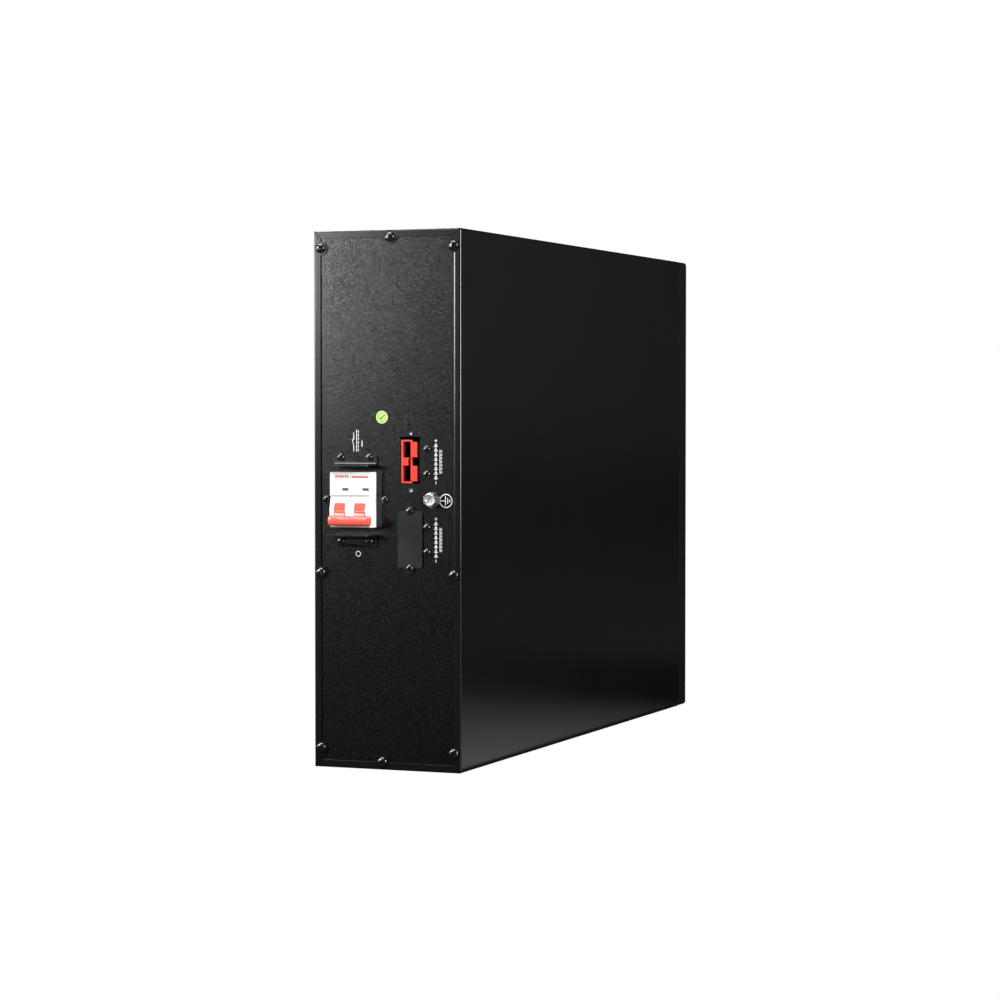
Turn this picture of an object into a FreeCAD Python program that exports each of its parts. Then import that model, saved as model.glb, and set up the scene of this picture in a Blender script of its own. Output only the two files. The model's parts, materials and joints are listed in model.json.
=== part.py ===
"""A 3U battery cabinet that stands on its narrow side: sheet-metal case, breaker, connectors, 20 blocks.

Millimetres. +Z is up, +X points to the plain base side of the case and +Y from the connection panel
to the front bezel. The origin is the centre of the bottom of the bounding box. Inside this file every
piece is laid out from the outer plane of the connection panel's lips (y = 0 there, growing towards
the bezel), and the cell rear_face_y carries that plane to its place in the frame.
"""

import FreeCAD, Part
import math
import os
import re

import Sketcher

V = FreeCAD.Vector
doc = FreeCAD.newDocument("battery_cabinet")

# ---------------------------------------------------------------- driving dimensions

CABINET_DEPTH = 585.0
GUARD_REACH = 18.0

SIZES = {
    # how far a cut runs past a face, and how far two joined blocks lap
    "cut_over": 1.0,
    "weld_lap": 0.1,
    # the case
    "cabinet_height": 438.0,
    "cabinet_depth": CABINET_DEPTH,
    "guard_reach": GUARD_REACH,
    "rear_face_y": -(CABINET_DEPTH - GUARD_REACH) / 2,
    "side_x": 65.0,
    "case_sheet": 1.2,
    "panel_sheet": 1.5,
    "bend_outer": 2.0,
    "bend_inner": 0.8,
    "lip_round": 1.4,
    "lip_width": 6.0,
    "ear_radius": 5.6,
    "seam_gap": 0.1,
    "mitre_gap": 0.3,
    "relief_radius": 0.9,
    "mitre_over": 1.0,
    "seam_y": 560.0,
    "flange_width": 13.8,
    "flange_gap": 0.15,
    "flange_start": 5.0,
    "flange_end": 552.0,
    # screws around the connection panel
    "rim_x": 58.9,
    "rim_top_z": 424.0,
    "rim_middle_z": 159.6,
    "rim_bottom_z": 16.0,
    "rim_end_x": 3.0,
    "rim_end_top_z": 432.0,
    "rim_foot_x": -4.1,
    "rim_foot_z": 6.5,
    "rim_hole": 2.2,
    "rim_head_radius": 4.0,
    "rim_head_height": 2.6,
    "rim_shank": 1.95,
    "rim_length": 7.0,
    "rim_nut_radius": 4.0,
    "rim_nut_height": 3.0,
    "rim_nut_bore": 2.0,
    "cross_width": 1.0,
    "cross_span": 4.4,
    "cross_depth": 1.5,
    "crown_share": 0.6,
    # countersunk screws of the narrow sides
    "side_screw_x": -56.5,
    "side_head_radius": 2.8,
    "side_head_height": 1.0,
    "side_shank": 1.45,
    "side_hole": 1.5,
    "side_length": 3.6,
    "side_head_gap": 0.05,
    "side_cross_half": 1.4,
    "side_cross_width": 0.3,
    "tap_reach": 5.0,
    # the connection panel
    "panel_half_width": 62.3,
    "panel_margin": 1.5,
    # the breaker
    "breaker_x": -28.0,
    "breaker_z": 219.6,
    "pole_width": 18.0,
    "pole_gap": 0.1,
    "case_half": 40.0,
    "nose_half": 22.4,
    "nose_reach": 10.4,
    "nose_step": 1.0,
    "nose_step_z": 222.5,
    "nose_bulge": 11.6,
    "bulge_high_z": 212.5,
    "bulge_low_z": 203.0,
    "nose_foot": 10.0,
    "nose_round": 0.8,
    "shoulder_y": 12.0,
    "case_back_y": 56.0,
    "case_wall": 1.6,
    "case_cheek": 1.2,
    "rail_recess": 1.2,
    "rail_half": 17.5,
    "rail_slack": 0.2,
    "nose_window": 0.35,
    "window_half": 5.0,
    "window_low_z": 201.6,
    "window_high_z": 217.0,
    "screw_well": 3.4,
    "well_inset": 6.4,
    "well_depth": 3.0,
    "wire_hole": 4.0,
    "wire_y": 30.0,
    "wire_depth": 3.0,
    # handle and contact arms
    "throw_y": -4.0,
    "throw_z": 211.0,
    "drum_radius": 6.6,
    "toggle_half": 4.6,
    "lever_half": 1.6,
    "lever_width_half": 3.6,
    "lever_end": 14.0,
    "lever_lean": 36.7,
    "pin_radius": 1.4,
    "pin_bore": 1.46,
    "bore_half": 9.0,
    "bar_x": -26.5,
    "bar_half": 18.4,
    "bar_low_z": 198.6,
    "bar_high_z": 206.9,
    "bar_front": 17.5,
    "bar_back": 12.4,
    "bar_round": 2.4,
    "arm_y": 18.0,
    "arm_z": 214.0,
    "arm_half": 1.5,
    "arm_width_half": 2.5,
    "arm_top_z": 238.0,
    "arm_button_low_z": 234.0,
    "arm_button_face": 21.0,
    "arm_hub": 3.2,
    "blade_lap": 1.0,
    "fixed_face": 27.2,
    "fixed_back": 29.0,
    "fixed_low_z": 231.0,
    "fixed_high_z": 239.0,
    "fixed_bar_back": 30.5,
    "cage_front": 24.0,
    "cage_back": 36.0,
    "cage_half": 5.0,
    "cage_height": 10.0,
    "cage_inset": 3.0,
    "cage_bore": 3.5,
    "cage_floor": 2.0,
    "terminal_head": 2.9,
    "terminal_head_front": 14.0,
    "terminal_head_back": 16.4,
    "terminal_shank": 2.2,
    "terminal_end": 25.8,
    "terminal_gap": 0.1,
    "terminal_slot_half": 0.5,
    "terminal_slot_deep": 1.2,
    "cage_screw_bore": 2.25,
    "chute_front": 34.0,
    "chute_back": 49.0,
    "chute_half": 6.4,
    "chute_plate": 0.8,
    "chute_pitch": 2.1,
    "chute_low_z": 226.0,
    "coil_y": 38.0,
    "coil_low_z": 197.5,
    "coil_high_z": 213.5,
    "coil_outer": 5.2,
    "coil_inner": 3.0,
    # DIN rail and breaker bracket
    "bracket_x": -28.3,
    "rail_flat": 12.5,
    "rail_back_y": 62.3,
    "rail_gauge": 1.0,
    "rail_length_half": 19.0,
    "bracket_inner_half": 19.2,
    "bracket_outer_half": 20.7,
    "bracket_flange_half": 30.2,
    "bracket_back_y": 63.8,
    "bracket_half_z": 14.0,
    "bracket_screw": 26.15,
    # small black screws
    "small_head_radius": 3.0,
    "small_head_height": 2.2,
    "small_shank": 1.46,
    "small_hole": 1.5,
    "small_length": 5.0,
    "small_cross_span": 3.6,
    # finger guards over and under the handle
    "guard_x": -28.1,
    "guard_flange_half": 19.5,
    "guard_leg_half": 18.35,
    "guard_sheet": 1.2,
    "upper_guard_bend": 2.6,
    "upper_guard_heel": 3.8,
    "lower_guard_bend": 1.4,
    "lower_guard_heel": 2.6,
    "guard_tip": 1.4,
    "guard_corner": 2.4,
    "upper_leg_z": 246.4,
    "upper_flange_z": 256.2,
    "lower_leg_z": 191.2,
    "lower_flange_z": 181.0,
    "guard_screw": 12.65,
    "upper_guard_screw_z": 253.9,
    "lower_guard_screw_z": 185.5,
    # battery connectors
    "plug_z": 250.7,
    "plug_pitch": 63.0,
    "plug_half_z": 17.6,
    "plug_left_x": 12.0,
    "plug_right_x": 27.4,
    "plug_tongue_x": 26.1,
    "plug_mid_x": 20.3,
    "plug_mid_wall": 1.1,
    "plug_wall": 1.5,
    "plug_round": 0.8,
    "plug_front": 1.6,
    "plug_back": 46.0,
    "plug_tongue_root": 15.0,
    "plug_rib_half": 3.3,
    "plug_rib_x": 18.2,
    "plug_cavity": 30.0,
    "tongue_low": 3.5,
    "tongue_high": 15.9,
    "contact_x": 15.6,
    "contact_gauge": 2.4,
    "contact_half": 4.6,
    "contact_z": 9.5,
    "contact_front": 14.5,
    "contact_barrel": 3.0,
    "contact_barrel_x": 17.7,
    "contact_barrel_back": 54.0,
    "contact_gap": 0.5,
    "barrel_slack": 0.3,
    "plug_cut_left": 11.6,
    "plug_cut_right": 28.8,
    "plug_cut_low": 18.0,
    "plug_cut_high": 20.1,
    "plug_hole_x": 20.4,
    "plug_hole_half": 23.1,
    "plug_screw_x": 35.0,
    "plug_screw_half": 10.05,
    "holder_flange_x": 40.0,
    "holder_leg_x": 27.6,
    "holder_leg_gauge": 1.4,
    "holder_half_z": 16.0,
    "holder_leg_back": 40.0,
    # blank plate over the spare connector
    "blank_half_x": 10.75,
    "blank_half_z": 22.95,
    "blank_sheet": 1.5,
    "blank_corner": 2.0,
    "blank_ear": 4.2,
    # earth screw
    "earth_x": 41.1,
    "earth_z": 220.2,
    "earth_hex": 10.0,
    "earth_head_front": -9.0,
    "earth_head_back": -4.8,
    "earth_spring_back": -3.2,
    "earth_flat_back": -1.8,
    "earth_washer": 6.0,
    "earth_spring": 5.4,
    "earth_bore": 3.2,
    "earth_shank": 2.95,
    "earth_thread_hole": 3.0,
    "earth_end": 9.0,
    "earth_collar": 4.6,
    "earth_slot_half": 2.6,
    "earth_slot_width": 0.5,
    "earth_slot_deep": 2.0,
    "earth_nut_height": 4.5,
    # round sticker
    "sticker_x": -4.8,
    "sticker_z": 286.5,
    "sticker_radius": 5.15,
    "sticker_front": 1.0,
    # battery bay
    "bulkhead_y": 92.0,
    "bulkhead_sheet": 1.2,
    "bulkhead_half_x": 61.8,
    "bulkhead_margin": 3.0,
    "bulkhead_hole": 9.0,
    "bulkhead_hole_x": -48.0,
    "bulkhead_hole_z": 150.0,
    "tray_start_y": 95.0,
    "tray_lip": 1.0,
    "tray_lip_height": 24.0,
    "tray_floor_x": 62.4,
    "tray_sheet": 1.2,
    "tray_low_z": 2.0,
    "tray_pitch_z": 217.6,
    "tray_span_z": 216.2,
    "tray_gap": 0.1,
    "block_long": 151.0,
    "block_short": 65.0,
    "block_tall": 94.0,
    "block_slack": 0.35,
    "block_round": 2.0,
    "post_height": 6.0,
    "post_gauge": 0.9,
    "post_half": 3.2,
    "post_side": 20.0,
    "post_end": 66.0,
    "jumper_radius": 1.8,
    "jumper_rise": 10.0,
    "jumper_bend": 4.5,
    # front
    "front_plate_y": 558.3,
    "front_flange_y": 553.2,
    "front_half_x": 61.8,
    "front_screw_y": 555.8,
    "front_screw_x": 40.0,
    "bezel_wall": 2.6,
    "bezel_gap": 0.3,
    "bezel_round": 3.0,
    "bezel_slot_half": 44.0,
    "bezel_slot": 3.4,
    "bezel_slot_pitch": 14.2,
    "bezel_slot_low": 82.0,
    "hook_x": 54.0,
    "hook_z": 150.0,
    "hook_half": 5.0,
    "hook_gauge": 2.0,
    "hook_back": 554.6,
    "hook_slack": 0.5,
    "grip_half": 22.0,
    "grip_width": 2.4,
    "grip_pitch": 4.6,
    "grip_start": 564.0,
    "grip_depth": 1.0,
    # fuse and leads
    "fuse_x": -47.0,
    "fuse_z": 132.0,
    "fuse_front": 56.0,
    "fuse_back": 88.0,
    "fuse_radius": 8.0,
    "fuse_cap_radius": 8.6,
    "fuse_cap": 6.0,
    "fuse_cap_lap": 2.0,
    "lead_radius": 3.2,
    "lead_entry": 2.5,
}

SLOT_COUNT = 20
GRIP_COUNT = 3
LONG_BLOCKS = 7
SHORT_BLOCKS = 3
TRAYS = 2
CHUTE_PLATES = 7
COVER_SCREW_YS = (30, 150, 280, 410, 530)

NEAR = 0.02
DIRECTED = 0.9
EDGE_BAND = 0.05
HEX_CORNERS = 6
PLUG_LEAD_BENDS = (10.0, 9.0)
STRING_LEAD_BENDS = (7.0, 9.0)

sheet = doc.addObject("Spreadsheet::Sheet", "Sizes")
for row, (alias, value) in enumerate(SIZES.items(), start=1):
    cell = f"A{row}"
    sheet.set(cell, repr(value))
    sheet.setAlias(cell, alias)
doc.recompute()

subparts = []


# ---------------------------------------------------------------- helpers


def size(alias):
    """A cell's number, for the few shapes that are worked out in this file's own code."""
    return float(sheet.get(alias))


def bound(expression):
    """An expression whose bare names are cells of the sheet."""
    return re.sub(r"[a-z]+_[a-z_]+", lambda name: "Sizes." + name.group(0), str(expression))


def bind(thing, prop, expression):
    thing.setExpression(prop, bound(expression))


def new_body(label, placed=True):
    """A PartDesign body. A placed one is a sub-part, and its y = 0 is the connection panel's plane."""
    body = doc.addObject("PartDesign::Body", label)
    if placed:
        bind(body, "Placement.Base.y", "rear_face_y")
        subparts.append(body)
    return body


def origin_plane(body, plane):
    return next(f for f in body.Origin.OriginFeatures if f.Role == plane + "_Plane")


def box(body, name, x, y, z, kind="Additive"):
    """A box feature between pairs of expressions."""
    feature = body.newObject(f"PartDesign::{kind}Box", name)
    for prop, axis, (low, high) in zip(("Length", "Width", "Height"), "xyz", (x, y, z)):
        bind(feature, prop, f"({high}) - ({low})")
        bind(feature, f"Placement.Base.{axis}", low)
    return feature


def cut_box(body, name, x, y, z):
    return box(body, name, x, y, z, kind="Subtractive")


TURNS = {
    "x": FreeCAD.Rotation(V(0, 1, 0), 90),
    "y": FreeCAD.Rotation(V(1, 0, 0), -90),
    "z": FreeCAD.Rotation(),
}


def stand_rod(feature, axis, centre, low, high, rear="0"):
    """Puts a cylinder along axis from low to high, with its centre in the other two directions."""
    feature.Placement = FreeCAD.Placement(V(), TURNS[axis])
    bind(feature, "Height", f"({high}) - ({low})")
    across = iter(centre)
    for direction in "xyz":
        place = low if direction == axis else next(across)
        if direction == "y":
            place = f"({rear}) + ({place})"
        bind(feature, f"Placement.Base.{direction}", place)


def rod(body, name, axis, centre, radius, low, high, kind="Additive"):
    """A cylinder feature of a body."""
    feature = body.newObject(f"PartDesign::{kind}Cylinder", name)
    bind(feature, "Radius", radius)
    stand_rod(feature, axis, centre, low, high)
    return feature


def cut_rod(body, name, axis, centre, radius, low, high):
    return rod(body, name, axis, centre, radius, low, high, kind="Subtractive")


def outline(body, name, plane, corners, start):
    """A closed straight-sided sketch: each corner is a pair of expressions, held by two distances."""
    sketch = body.newObject("Sketcher::SketchObject", name)
    sketch.AttachmentSupport = (origin_plane(body, plane), [""])
    sketch.MapMode = "FlatFace"
    bind(sketch, "AttachmentOffset.Base.z", start)
    count = len(corners)
    ring = [2 * math.pi * index / count for index in range(count)]
    spots = [V(math.cos(angle), math.sin(angle), 0) for angle in ring]
    for index in range(count):
        sketch.addGeometry(Part.LineSegment(spots[index], spots[(index + 1) % count]), False)
    for index in range(count):
        sketch.addConstraint(Sketcher.Constraint("Coincident", index, 2, (index + 1) % count, 1))
    for index, corner in enumerate(corners):
        for kind, expression in zip(("DistanceX", "DistanceY"), corner):
            held = sketch.addConstraint(Sketcher.Constraint(kind, -1, 1, index, 1, 1.0))
            bind(sketch, f"Constraints[{held}]", expression)
    return sketch


def profile(body, name, plane, corners, low, high):
    """An outline padded from low to high along the plane's own axis."""
    flipped = plane == "XZ"
    start = f"-({low})" if flipped else low
    pad = body.newObject("PartDesign::Pad", name)
    pad.Profile = outline(body, name + "_outline", plane, corners, start)
    pad.Reversed = flipped
    bind(pad, "Length", f"({high}) - ({low})")
    return pad


def cut_profile(body, name, plane, corners, low, high):
    """An outline pocketed from low to high along the plane's own axis."""
    flipped = plane == "XZ"
    start = f"-({low})" if flipped else high
    pocket = body.newObject("PartDesign::Pocket", name)
    pocket.Profile = outline(body, name + "_outline", plane, corners, start)
    bind(pocket, "Length", f"({high}) - ({low})")
    return pocket


def round_edges(body, name, radius, wanted):
    """A fillet on the straight edges for which wanted(middle, direction) holds."""
    doc.recompute()
    base = body.Tip
    names = []
    for index, edge in enumerate(base.Shape.Edges, start=1):
        if edge.Curve.TypeId == "Part::GeomLine":
            middle = edge.valueAt((edge.FirstParameter + edge.LastParameter) / 2)
            direction = edge.tangentAt(edge.FirstParameter)
            if wanted(middle, direction):
                names.append(f"Edge{index}")
    fillet = body.newObject("PartDesign::Fillet", name)
    fillet.Base = (base, names)
    bind(fillet, "Radius", radius)
    return fillet


def near(value, goal):
    return abs(value - goal) < NEAR


def loose_box(name, x, y, z):
    """A Part box laid out from the connection panel's plane."""
    solid = doc.addObject("Part::Box", name)
    for prop, axis, (low, high) in zip(("Length", "Width", "Height"), "xyz", (x, y, z)):
        bind(solid, prop, f"({high}) - ({low})")
        rear = "rear_face_y + " if axis == "y" else ""
        bind(solid, f"Placement.Base.{axis}", f"{rear}({low})")
    return solid


def loose_rod(name, axis, centre, radius, low, high):
    """A Part cylinder laid out from the connection panel's plane."""
    solid = doc.addObject("Part::Cylinder", name)
    bind(solid, "Radius", radius)
    stand_rod(solid, axis, centre, low, high, rear="rear_face_y")
    return solid


def cut_away(name, base, tool):
    cut = doc.addObject("Part::Cut", name)
    cut.Base = base
    cut.Tool = tool
    return cut


def subpart(piece, label):
    """Names a piece as a sub-part of its own."""
    piece.Label = label
    subparts.append(piece)
    return piece


def group(label, pieces):
    """A sub-part that is a group of separate solids."""
    compound = doc.addObject("Part::Compound", label)
    compound.Links = pieces
    return subpart(compound, label)


def copies(label, master, places, turn=FreeCAD.Rotation()):
    """Links to one master piece at several places, as one group of separate solids."""
    links = []
    for index, (x, y, z) in enumerate(places):
        link = doc.addObject("App::Link", f"{label}_{index}")
        link.LinkedObject = master
        link.LinkTransform = False
        link.Placement = FreeCAD.Placement(V(), turn)
        bind(link, "Placement.Base.x", x)
        bind(link, "Placement.Base.y", f"rear_face_y + ({y})")
        bind(link, "Placement.Base.z", z)
        links.append(link)
    return links


def screw_master(name, head_radius, head_height, shank, length, cross_span):
    """A pan-head screw along +Z: its head is under z = 0 and its shank runs up from there."""
    body = new_body(name, placed=False)
    rod(body, name + "_head", "z", ("0", "0"), head_radius, f"-({head_height})", "0")
    rod(body, name + "_shank", "z", ("0", "0"), shank, "0", length)
    doc.recompute()
    blank = body.Tip
    rim = [
        f"Edge{index}"
        for index, edge in enumerate(blank.Shape.Edges, start=1)
        if edge.Curve.TypeId == "Part::GeomCircle"
        and near(edge.Curve.Center.z, -size(head_height))
    ]
    crown = body.newObject("PartDesign::Fillet", name + "_crown")
    crown.Base = (blank, rim)
    bind(crown, "Radius", f"{head_height} * crown_share")
    spans = ((cross_span, "cross_width"), ("cross_width", cross_span))
    for index, (long_way, short_way) in enumerate(spans):
        cut_box(
            body,
            f"{name}_slot_{index}",
            (f"-({long_way}) / 2", f"({long_way}) / 2"),
            (f"-({short_way}) / 2", f"({short_way}) / 2"),
            (f"-({head_height}) - cut_over", f"-({head_height}) + cross_depth"),
        )
    return body


INTO_PANEL = FreeCAD.Rotation(V(1, 0, 0), -90)
INTO_FLOOR_SIDE = FreeCAD.Rotation()
INTO_TOP_SIDE = FreeCAD.Rotation(V(1, 0, 0), 180)

RIM_PLACES = {
    "cover": [("-rim_x", z) for z in ("rim_top_z", "rim_middle_z", "rim_bottom_z")],
    "pan": [("rim_x", z) for z in ("rim_top_z", "rim_middle_z", "rim_bottom_z")]
    + [("rim_end_x", "rim_end_top_z"), ("rim_foot_x", "rim_foot_z")],
}
RIM_SPOTS = RIM_PLACES["cover"] + RIM_PLACES["pan"]

# ---------------------------------------------------------------- case

TAP_ENDS = (
    ("low", "0", "tap_reach"),
    ("high", "cabinet_height - tap_reach", "cabinet_height"),
)


def side_screw_places():
    """x and y of the countersunk screws: a row into the cover's flange, three into the front plate."""
    rows = [("side_screw_x", str(y)) for y in COVER_SCREW_YS]
    rows += [(x, "front_screw_y") for x in ("-front_screw_x", "0", "front_screw_x")]
    return rows


def make_ears(body, places):
    """Round ears on the rear lips, each with its screw's clearance hole."""
    for index, (x, z) in enumerate(places):
        rod(body, f"ear_{index}", "y", (x, z), "ear_radius", "0", "case_sheet")
    for index, (x, z) in enumerate(places):
        cut_rod(body, f"ear_hole_{index}", "y", (x, z), "rim_hole", "-cut_over", "case_sheet + cut_over")


def chassis_pan():
    """Base side and both narrow sides of the case, folded from one sheet, with mitred rear lips."""
    body = new_body("chassis_pan")
    edge = "-side_x + case_sheet + seam_gap"
    top = "cabinet_height"
    walls = [
        (edge, "0"),
        ("side_x", "0"),
        ("side_x", top),
        (edge, top),
        (edge, f"{top} - case_sheet"),
        ("side_x - case_sheet", f"{top} - case_sheet"),
        ("side_x - case_sheet", "case_sheet"),
        (edge, "case_sheet"),
    ]
    profile(body, "walls", "XZ", walls, "0", "seam_y")
    middle = "case_sheet / 2"
    lip_edge = "side_x - lip_width"
    mitre = "mitre_gap + seam_gap"
    lips = [
        (edge, middle),
        (f"side_x - {middle}", middle),
        (f"side_x - {middle}", f"{top} - {middle}"),
        (edge, f"{top} - {middle}"),
        (edge, f"{top} - case_sheet - seam_gap + {mitre}"),
        (f"-({lip_edge}) + {mitre}", f"{top} - lip_width"),
        (lip_edge, f"{top} - lip_width"),
        (lip_edge, "lip_width"),
        (f"-({lip_edge}) + {mitre}", "lip_width"),
        (edge, f"case_sheet + seam_gap - ({mitre})"),
    ]
    profile(body, "rear_lips", "XZ", lips, "0", "case_sheet")
    side = size("side_x")
    height = size("cabinet_height")
    gauge = size("case_sheet")
    seam = size("seam_y")

    def outer_bend(middle, direction):
        at_corner = near(middle.x, side) and (near(middle.z, 0) or near(middle.z, height))
        return abs(direction.y) > DIRECTED and at_corner

    def inner_bend(middle, direction):
        ends = near(middle.z, gauge) or near(middle.z, height - gauge)
        return abs(direction.y) > DIRECTED and near(middle.x, side - gauge) and ends and middle.y < seam

    def rear_rim(middle, direction):
        outside = near(middle.x, side) or near(middle.z, 0) or near(middle.z, height)
        return near(middle.y, 0) and abs(direction.y) < 1 - DIRECTED and outside

    round_edges(body, "outer_bends", "bend_outer", outer_bend)
    round_edges(body, "inner_bends", "bend_inner", inner_bend)
    round_edges(body, "rear_bends", "lip_round", rear_rim)
    for name, z, way in (("low", "0", "+"), ("high", top, "-")):
        half = "mitre_gap / 2"
        near_z = f"({z}) {way} lip_width"
        slit = [
            (f"side_x - {half}", f"({z}) {way} 0"),
            ("side_x", f"({z}) {way} {half}"),
            (f"side_x - lip_width - mitre_over + {half}", f"{near_z} {way} (mitre_over + {half})"),
            (f"side_x - lip_width - mitre_over - {half}", f"{near_z} {way} (mitre_over - {half})"),
        ]
        cut_profile(body, f"mitre_{name}", "XZ", slit, "-cut_over", "case_sheet")
        corner = ("side_x - relief_radius", f"({z}) {way} relief_radius")
        cut_rod(body, f"relief_{name}", "y", corner, "relief_radius", "-cut_over", "case_sheet")
    make_ears(body, RIM_PLACES["pan"])
    for index, (x, y) in enumerate(side_screw_places()):
        through_floor = ("low", "-cut_over", "case_sheet + cut_over")
        through_top = ("high", f"{top} - case_sheet - cut_over", f"{top} + cut_over")
        for name, low, high in (through_floor, through_top):
            cut_rod(body, f"side_hole_{name}_{index}", "z", (x, y), "side_head_radius", low, high)


def chassis_cover():
    """The removable side of the case: a plate with a rear lip and two flanges inside the pan's walls."""
    body = new_body("chassis_cover")
    inner = "-side_x + case_sheet"
    box(body, "plate", ("-side_x", inner), ("0", "seam_y"), ("0", "cabinet_height"))
    middle = "case_sheet / 2"
    lip = [
        (f"-side_x + {middle}", f"{middle} + mitre_gap"),
        ("-side_x + lip_width", "lip_width + mitre_gap"),
        ("-side_x + lip_width", "cabinet_height - lip_width - mitre_gap"),
        (f"-side_x + {middle}", f"cabinet_height - {middle} - mitre_gap"),
    ]
    profile(body, "rear_lip", "XZ", lip, "0", "case_sheet")
    side = size("side_x")
    round_edges(
        body,
        "rear_bend",
        "lip_round",
        lambda middle, direction: near(middle.x, -side) and near(middle.y, 0),
    )
    make_ears(body, RIM_PLACES["cover"])
    reach = (f"{inner} - weld_lap", f"{inner} + flange_width")
    run = ("flange_start", "flange_end")
    box(body, "low_flange", reach, run, ("case_sheet + flange_gap", "case_sheet * 2 + flange_gap"))
    high = ("cabinet_height - case_sheet * 2 - flange_gap", "cabinet_height - case_sheet - flange_gap")
    box(body, "high_flange", reach, run, high)
    for index, y in enumerate(COVER_SCREW_YS):
        for name, low, top in TAP_ENDS:
            cut_rod(body, f"tapped_{name}_{index}", "z", ("side_screw_x", str(y)), "side_hole", low, top)


def side_screws():
    """Countersunk screws of the narrow sides, flush with the outside so that the case stands flat."""
    body = new_body("side_screw_master", placed=False)
    cone = body.newObject("PartDesign::AdditiveCone", "side_head")
    bind(cone, "Radius1", "side_head_radius - side_head_gap")
    bind(cone, "Radius2", "side_shank")
    bind(cone, "Height", "side_head_height")
    rod(body, "side_thread", "z", ("0", "0"), "side_shank", "side_head_height / 2", "side_length")
    half_sizes = ("side_cross_half", "side_cross_width")
    for index, (across, along) in enumerate((half_sizes, half_sizes[::-1])):
        cut_box(
            body,
            f"side_slot_{index}",
            (f"-{across}", across),
            (f"-{along}", along),
            ("-cut_over", "side_head_height - side_cross_width"),
        )
    low = [(x, y, "side_head_gap") for x, y in side_screw_places()]
    high = [(x, y, "cabinet_height - side_head_gap") for x, y in side_screw_places()]
    links = copies("low_side_screws", body, low, INTO_FLOOR_SIDE)
    links += copies("high_side_screws", body, high, INTO_TOP_SIDE)
    group("side_screws", links)


# ---------------------------------------------------------------- connection panel


def panel_holes():
    """Name, x, z and radius of every round hole of the connection panel."""
    holes = [(f"rim_{index}", x, z, "rim_hole") for index, (x, z) in enumerate(RIM_SPOTS)]
    holes += [(f"small_{index}", x, z, "small_hole") for index, (x, z) in enumerate(SMALL_HOLES)]
    holes.append(("earth", "earth_x", "earth_z", "earth_thread_hole"))
    return holes


PLUG_SHIFTS = {"": "0", "spare_": "plug_pitch"}
BRACKET_HOLES = [(f"bracket_x {sign} bracket_screw", "breaker_z") for sign in "-+"]
GUARD_HOLES = {
    name: [(f"guard_x {sign} guard_screw", f"{name}_guard_screw_z") for sign in "-+"]
    for name in ("upper", "lower")
}
HOLDER_HOLES = {
    name: [("plug_screw_x", f"plug_z - {shift} {sign} plug_screw_half") for sign in "-+"]
    for name, shift in PLUG_SHIFTS.items()
}
PLATE_HOLES = {
    name: [("plug_hole_x", f"plug_z - {shift} {sign} plug_hole_half") for sign in "-+"]
    for name, shift in PLUG_SHIFTS.items()
}
SCREWED_HOLES = BRACKET_HOLES + HOLDER_HOLES[""] + HOLDER_HOLES["spare_"]
PROUD_HOLES = GUARD_HOLES["upper"] + GUARD_HOLES["lower"]
SMALL_HOLES = SCREWED_HOLES + PROUD_HOLES + PLATE_HOLES[""] + PLATE_HOLES["spare_"]


def rear_panel():
    """The connection panel behind the case's lips."""
    body = new_body("rear_panel")
    front = "case_sheet"
    back = "case_sheet + panel_sheet"
    width = ("-panel_half_width", "panel_half_width")
    box(body, "panel_plate", width, (front, back), ("panel_margin", "cabinet_height - panel_margin"))
    through = ("0", "case_sheet + panel_sheet + cut_over")
    nose_x = "pole_width + nose_window"
    nose_z = "nose_half + nose_window"
    cut_box(
        body,
        "nose_window_cut",
        (f"breaker_x - ({nose_x})", f"breaker_x + {nose_x}"),
        through,
        (f"breaker_z - ({nose_z})", f"breaker_z + {nose_z}"),
    )
    for name, shift in PLUG_SHIFTS.items():
        cut_box(
            body,
            name + "plug_window",
            ("plug_cut_left", "plug_cut_right"),
            through,
            (f"plug_z - {shift} - plug_cut_low", f"plug_z - {shift} + plug_cut_high"),
        )
    for name, x, z, radius in panel_holes():
        cut_rod(body, name + "_hole", "y", (x, z), radius, *through)


def panel_screws():
    """Eight pan-head screws around the connection panel and their clinch nuts."""
    spare = ("rim_head_radius", "rim_head_height", "rim_shank", "rim_length", "cross_span")
    master = screw_master("rim_screw_master", *spare)
    links = copies("rim_screw", master, [(x, "0", z) for x, z in RIM_SPOTS], INTO_PANEL)
    group("panel_screws", links)
    nut = new_body("rim_nut_master", placed=False)
    rod(nut, "nut_collar", "z", ("0", "0"), "rim_nut_radius", "0", "rim_nut_height")
    cut_rod(nut, "nut_bore", "z", ("0", "0"), "rim_nut_bore", "-cut_over", "rim_nut_height + cut_over")
    back = "case_sheet + panel_sheet"
    group("panel_nuts", copies("rim_nut", nut, [(x, back, z) for x, z in RIM_SPOTS], INTO_PANEL))


def small_screws():
    """Small black pan-head screws: bracket, connector holders, finger guards and blank plate."""
    spare = ("small_head_radius", "small_head_height", "small_shank", "small_length", "small_cross_span")
    master = screw_master("small_screw_master", *spare)
    places = [(x, "case_sheet", z) for x, z in SCREWED_HOLES]
    places += [(x, "case_sheet - guard_sheet", z) for x, z in PROUD_HOLES]
    places += [(x, "case_sheet - blank_sheet", z) for x, z in PLATE_HOLES["spare_"]]
    group("small_screws", copies("small_screw", master, places, INTO_PANEL))


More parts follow.
